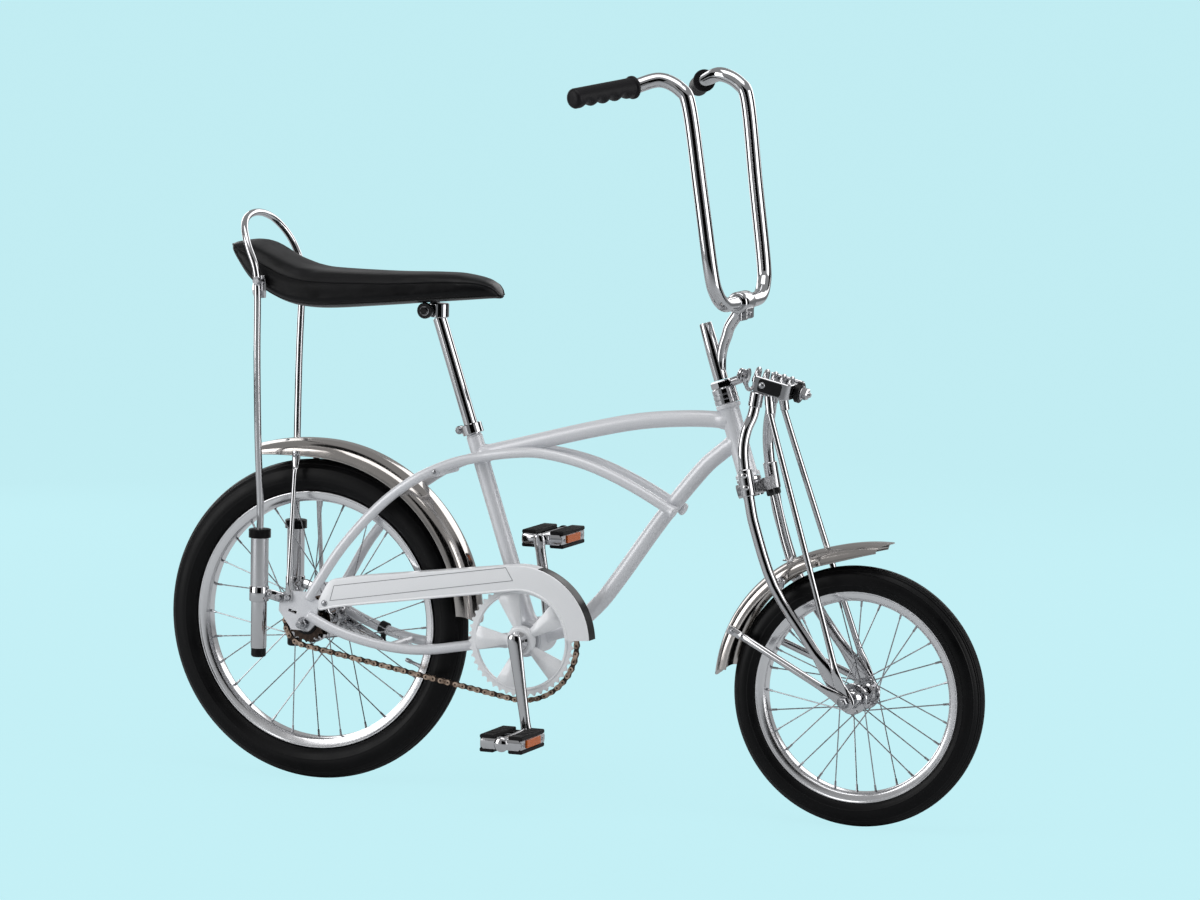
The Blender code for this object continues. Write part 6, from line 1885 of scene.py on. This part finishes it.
def build_stage(colours):
    scene = bpy.context.scene
    backdrop = (*colours.backdrop, 1)

    # Seamless paper, dyed. The eye sees one even tone; part of it answers to the lamps, so shadows stay.
    # The bicycle was lit before white paper, so what it mirrors is neutral.
    paper = bpy.data.materials.new("dyed_paper")
    paper.use_nodes = True
    tree = paper.node_tree
    tree.nodes.clear()
    even = add_node(tree, "ShaderNodeEmission", values={"Color": backdrop, "Strength": 0.975})
    pulp = add_node(tree, "ShaderNodeBsdfDiffuse", values={"Color": (*linear("C9CCCE"), 1)})
    dim = add_node(
        tree, "ShaderNodeBsdfDiffuse", values={"Color": tuple(0.06 * c for c in backdrop[:3]) + (1,)}
    )
    both = add_node(tree, "ShaderNodeAddShader", sources={0: even.outputs[0], 1: dim.outputs[0]})
    split_by_ray(tree, "ShaderNodeOutputMaterial", pulp, both)
    card("studio_floor", Vector((0, 0, -RIDER.z)), Matrix.Identity(3), 180, 180, paper)

    world = bpy.data.worlds.new("studio")
    world.use_nodes = True
    scene.world = world
    tree = world.node_tree
    tree.nodes.clear()
    wall = add_node(tree, "ShaderNodeBackground", values={"Color": backdrop, "Strength": 1.0})
    fill = add_node(tree, "ShaderNodeBackground", values={"Color": (*linear("F0F1F2"), 1), "Strength": 0.4})
    split_by_ray(tree, "ShaderNodeOutputWorld", fill, wall)

    aim = Vector((0.36, 0, -0.25))
    for name, azimuth, elevation, distance, wide, tall, level in (
        # softboxes by name: degrees round and up, metres away and across, brightness
        ("softbox_left", -50, 14, 3.4, 1.9, 2.6, 2.7), ("softbox_right", 86, 12, 3.4, 1.9, 2.6, 2.7),
        ("softbox_top", 10, 74, 3.0, 2.6, 2.0, 2.0), ("softbox_back", 168, 22, 3.8, 3.0, 1.8, 1.9),
        ("softbox_rear_left", 232, 14, 3.8, 1.8, 2.4, 1.7),
    ):
        lamp = bpy.data.lights.new(name, "AREA")
        lamp.shape = "RECTANGLE"
        lamp.size = wide
        lamp.size_y = tall
        lamp.energy = level * math.pi * wide * tall
        holder = bpy.data.objects.new(name, lamp)
        back = seen_from(azimuth, elevation)
        holder.location = aim + back * distance
        holder.rotation_mode = "QUATERNION"
        holder.rotation_quaternion = facing(back)
        holder.visible_camera = False
        scene.collection.objects.link(holder)

    # Black felt on a frame, which a photographer sets by the camera so that chrome takes a dark core.
    felt = bpy.data.materials.new("black_felt")
    felt.use_nodes = True
    tree = felt.node_tree
    shader = tree.nodes["Principled BSDF"]
    shader.inputs["Base Color"].default_value = (0.004, 0.004, 0.004, 1)
    shader.inputs["Roughness"].default_value = 0.95
    shader.inputs["Specular IOR Level"].default_value = 0.0
    for name, azimuth, elevation, distance, wide, tall in (
        ("flag_camera", 20, 6, 5.2, 4.6, 4.4), ("flag_far", 126, 4, 4.2, 2.2, 3.6),
        ("flag_rear", 280, 4, 4.2, 2.0, 3.6),
    ):
        back = seen_from(azimuth, elevation)
        flag = card(name, aim + back * distance, facing(back), wide, tall, felt)
        flag.visible_camera = False
        flag.visible_shadow = False
        flag.visible_diffuse = False

    back = seen_from(CAMERA_AZIMUTH, CAMERA_ELEVATION)
    azimuth, roll = math.radians(CAMERA_AZIMUTH), math.radians(CAMERA_ROLL)
    right = Vector((math.cos(azimuth), math.sin(azimuth), 0))
    up = back.cross(right)
    right, up = right * math.cos(roll) + up * math.sin(roll), up * math.cos(roll) - right * math.sin(roll)
    lens = bpy.data.cameras.new("photo_camera")
    lens.sensor_width = SENSOR_WIDTH
    lens.lens = SENSOR_WIDTH * FOCAL_PIXELS / FRAME_PIXELS
    lens.clip_end = 400
    camera = bpy.data.objects.new("photo_camera", lens)
    place = in_frame(*CAMERA_AIM) + back * CAMERA_DISTANCE
    turn = Matrix((right, up, back)).transposed().to_4x4()
    camera.matrix_world = Matrix.Translation(place) @ turn
    scene.collection.objects.link(camera)
    scene.camera = camera
    scene.view_settings.view_transform = "Standard"


# Properties, operators and panel


class BicycleSizes(bpy.types.PropertyGroup):
    """Sizes that a user would change."""

    spokes: bpy.props.IntProperty(
        name="Spokes", description="Spokes in each wheel", default=28, min=12, max=48
    )
    spoke_diameter: bpy.props.FloatProperty(
        name="Spoke diameter", description="Thickness of the spoke wire", default=0.002, unit="LENGTH",
        precision=4,
    )
    tread_groove: bpy.props.FloatProperty(
        name="Tread groove", description="Depth of the lines in the slick tread", default=0.0006,
        unit="LENGTH",
    )
    grip_groove: bpy.props.FloatProperty(
        name="Finger groove", description="Depth of the grips' finger grooves", default=0.004, unit="LENGTH"
    )
    pad_rise: bpy.props.FloatProperty(
        name="Pad rise", description="How far the padding may swell", default=0.004, unit="LENGTH"
    )
    welt_diameter: bpy.props.FloatProperty(
        name="Welt diameter", description="Thickness of the saddle's sewn welt", default=0.003,
        unit="LENGTH",
    )


class BicycleColours(bpy.types.PropertyGroup):
    """Colours that a user would change."""

    backdrop: bpy.props.FloatVectorProperty(
        name="Backdrop", description="Colour of the floor and wall", default=linear("C2EDF3"),
        subtype="COLOR", size=3,
    )


class BuildTyres(bpy.types.Operator):
    """Build the two slick tyres with their tread lines and wall rings"""

    bl_idname = "bicycle.build_tyres"
    bl_label = "Tyres"

    def execute(self, context):
        build_tyres(context.scene.bicycle_sizes)
        return {"FINISHED"}


class BuildWheels(bpy.types.Operator):
    """Build the rims, hubs, laced spokes, nipples and valves"""

    bl_idname = "bicycle.build_wheels"
    bl_label = "Wire wheels"

    def execute(self, context):
        build_wheels(context.scene.bicycle_sizes)
        return {"FINISHED"}


class BuildFrame(bpy.types.Operator):
    """Build the painted tubes, stays and bracket shell"""

    bl_idname = "bicycle.build_frame"
    bl_label = "Frame"

    def execute(self, context):
        build_frame()
        return {"FINISHED"}


class BuildRearAxle(bpy.types.Operator):
    """Build the rear axle's nuts and the coaster brake's arm"""

    bl_idname = "bicycle.build_rear_axle"
    bl_label = "Rear axle"

    def execute(self, context):
        build_rear_hardware()
        return {"FINISHED"}


class BuildStruts(bpy.types.Operator):
    """Build the two telescopic seat struts"""

    bl_idname = "bicycle.build_struts"
    bl_label = "Seat struts"

    def execute(self, context):
        build_struts()
        return {"FINISHED"}


class BuildSissyBar(bpy.types.Operator):
    """Build the hoop behind the saddle and its straps"""

    bl_idname = "bicycle.build_sissy_bar"
    bl_label = "Sissy bar"

    def execute(self, context):
        build_sissy_bar()
        return {"FINISHED"}


class BuildFenders(bpy.types.Operator):
    """Build the two rolled fenders with their stays and screws"""

    bl_idname = "bicycle.build_fenders"
    bl_label = "Fenders"

    def execute(self, context):
        build_fenders()
        return {"FINISHED"}


class BuildChainGuard(bpy.types.Operator):
    """Build the pressed chain guard with its lip, and a black strip on its flange that is painted dark
    reflection
    """

    bl_idname = "bicycle.build_chain_guard"
    bl_label = "Chain guard"

    def execute(self, context):
        build_chain_guard()
        return {"FINISHED"}


class BuildChain(bpy.types.Operator):
    """Build the chain's plates, rollers and pins"""

    bl_idname = "bicycle.build_chain"
    bl_label = "Chain"

    def execute(self, context):
        build_chain()
        return {"FINISHED"}


class BuildChainring(bpy.types.Operator):
    """Build the toothed chainring with its wedge arms"""

    bl_idname = "bicycle.build_chainring"
    bl_label = "Chainring"

    def execute(self, context):
        build_chainring()
        return {"FINISHED"}


class BuildSprocket(bpy.types.Operator):
    """Build the rear sprocket and its dust cap"""

    bl_idname = "bicycle.build_sprocket"
    bl_label = "Rear sprocket"

    def execute(self, context):
        build_sprocket()
        return {"FINISHED"}


class BuildCrank(bpy.types.Operator):
    """Build the one-piece crank with its cones"""

    bl_idname = "bicycle.build_crank"
    bl_label = "Crank"

    def execute(self, context):
        build_crank()
        return {"FINISHED"}


class BuildPedals(bpy.types.Operator):
    """Build the block pedals with their reflectors"""

    bl_idname = "bicycle.build_pedals"
    bl_label = "Pedals"

    def execute(self, context):
        build_pedals()
        return {"FINISHED"}


class BuildSaddle(bpy.types.Operator):
    """Build the padded saddle with its welt"""

    bl_idname = "bicycle.build_saddle"
    bl_label = "Saddle"

    def execute(self, context):
        build_saddle(context.scene.bicycle_sizes)
        return {"FINISHED"}


class BuildSaddlePost(bpy.types.Operator):
    """Build the post, its collar and the saddle clamp"""

    bl_idname = "bicycle.build_saddle_post"
    bl_label = "Saddle post"

    def execute(self, context):
        build_saddle_post()
        return {"FINISHED"}


class BuildFork(bpy.types.Operator):
    """Build the spring legs, truss rods, crown and front axle"""

    bl_idname = "bicycle.build_fork"
    bl_label = "Springer fork"

    def execute(self, context):
        build_fork()
        return {"FINISHED"}


class BuildSpring(bpy.types.Operator):
    """Build the coil spring and the strap round it"""

    bl_idname = "bicycle.build_spring"
    bl_label = "Fork spring"

    def execute(self, context):
        build_spring()
        return {"FINISHED"}


class BuildHeadset(bpy.types.Operator):
    """Build the steering bearings"""

    bl_idname = "bicycle.build_headset"
    bl_label = "Headset"

    def execute(self, context):
        build_headset()
        return {"FINISHED"}


class BuildStem(bpy.types.Operator):
    """Build the forged stem with its bolts"""

    bl_idname = "bicycle.build_stem"
    bl_label = "Stem"

    def execute(self, context):
        build_stem()
        return {"FINISHED"}


class BuildHandlebar(bpy.types.Operator):
    """Build the high-rise bar"""

    bl_idname = "bicycle.build_handlebar"
    bl_label = "Handlebar"

    def execute(self, context):
        build_handlebar()
        return {"FINISHED"}


class BuildGrips(bpy.types.Operator):
    """Build the two finger grips"""

    bl_idname = "bicycle.build_grips"
    bl_label = "Grips"

    def execute(self, context):
        build_grips(context.scene.bicycle_sizes)
        return {"FINISHED"}


class BuildStage(bpy.types.Operator):
    """Build the floor, the lamps and the camera"""

    bl_idname = "bicycle.build_stage"
    bl_label = "Studio"

    def execute(self, context):
        build_stage(context.scene.bicycle_colours)
        return {"FINISHED"}


OPERATORS = (
    BuildTyres, BuildWheels, BuildFrame, BuildRearAxle, BuildStruts, BuildSissyBar, BuildFenders,
    BuildChainGuard, BuildChain, BuildChainring, BuildSprocket, BuildCrank, BuildPedals, BuildSaddle,
    BuildSaddlePost, BuildFork, BuildSpring, BuildHeadset, BuildStem, BuildHandlebar, BuildGrips,
    BuildStage,
)


class BicyclePanel(bpy.types.Panel):
    """Lists the bicycle's sizes, colours and pieces"""

    bl_idname = "VIEW3D_PT_bicycle"
    bl_label = "Chopper bicycle"
    bl_space_type = "VIEW_3D"
    bl_region_type = "UI"
    bl_category = "Bicycle"

    def draw(self, context):
        sizes = context.scene.bicycle_sizes
        for name in (
            "spokes", "spoke_diameter", "tread_groove", "grip_groove", "pad_rise", "welt_diameter"
        ):
            self.layout.prop(sizes, name)
        self.layout.prop(context.scene.bicycle_colours, "backdrop")
        for operator in OPERATORS:
            self.layout.operator(operator.bl_idname)


CLASSES = (BicycleSizes, BicycleColours, *OPERATORS, BicyclePanel)


def register():
    for item in CLASSES:
        bpy.utils.register_class(item)
    bpy.types.Scene.bicycle_sizes = bpy.props.PointerProperty(type=BicycleSizes)
    bpy.types.Scene.bicycle_colours = bpy.props.PointerProperty(type=BicycleColours)


def unregister():
    del bpy.types.Scene.bicycle_colours
    del bpy.types.Scene.bicycle_sizes
    for item in reversed(CLASSES):
        bpy.utils.unregister_class(item)


def main():
    """Registers the add-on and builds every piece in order."""
    register()
    for operator in OPERATORS:
        area, name = operator.bl_idname.split(".")
        getattr(getattr(bpy.ops, area), name)()


if __name__ == "__main__":
    main()
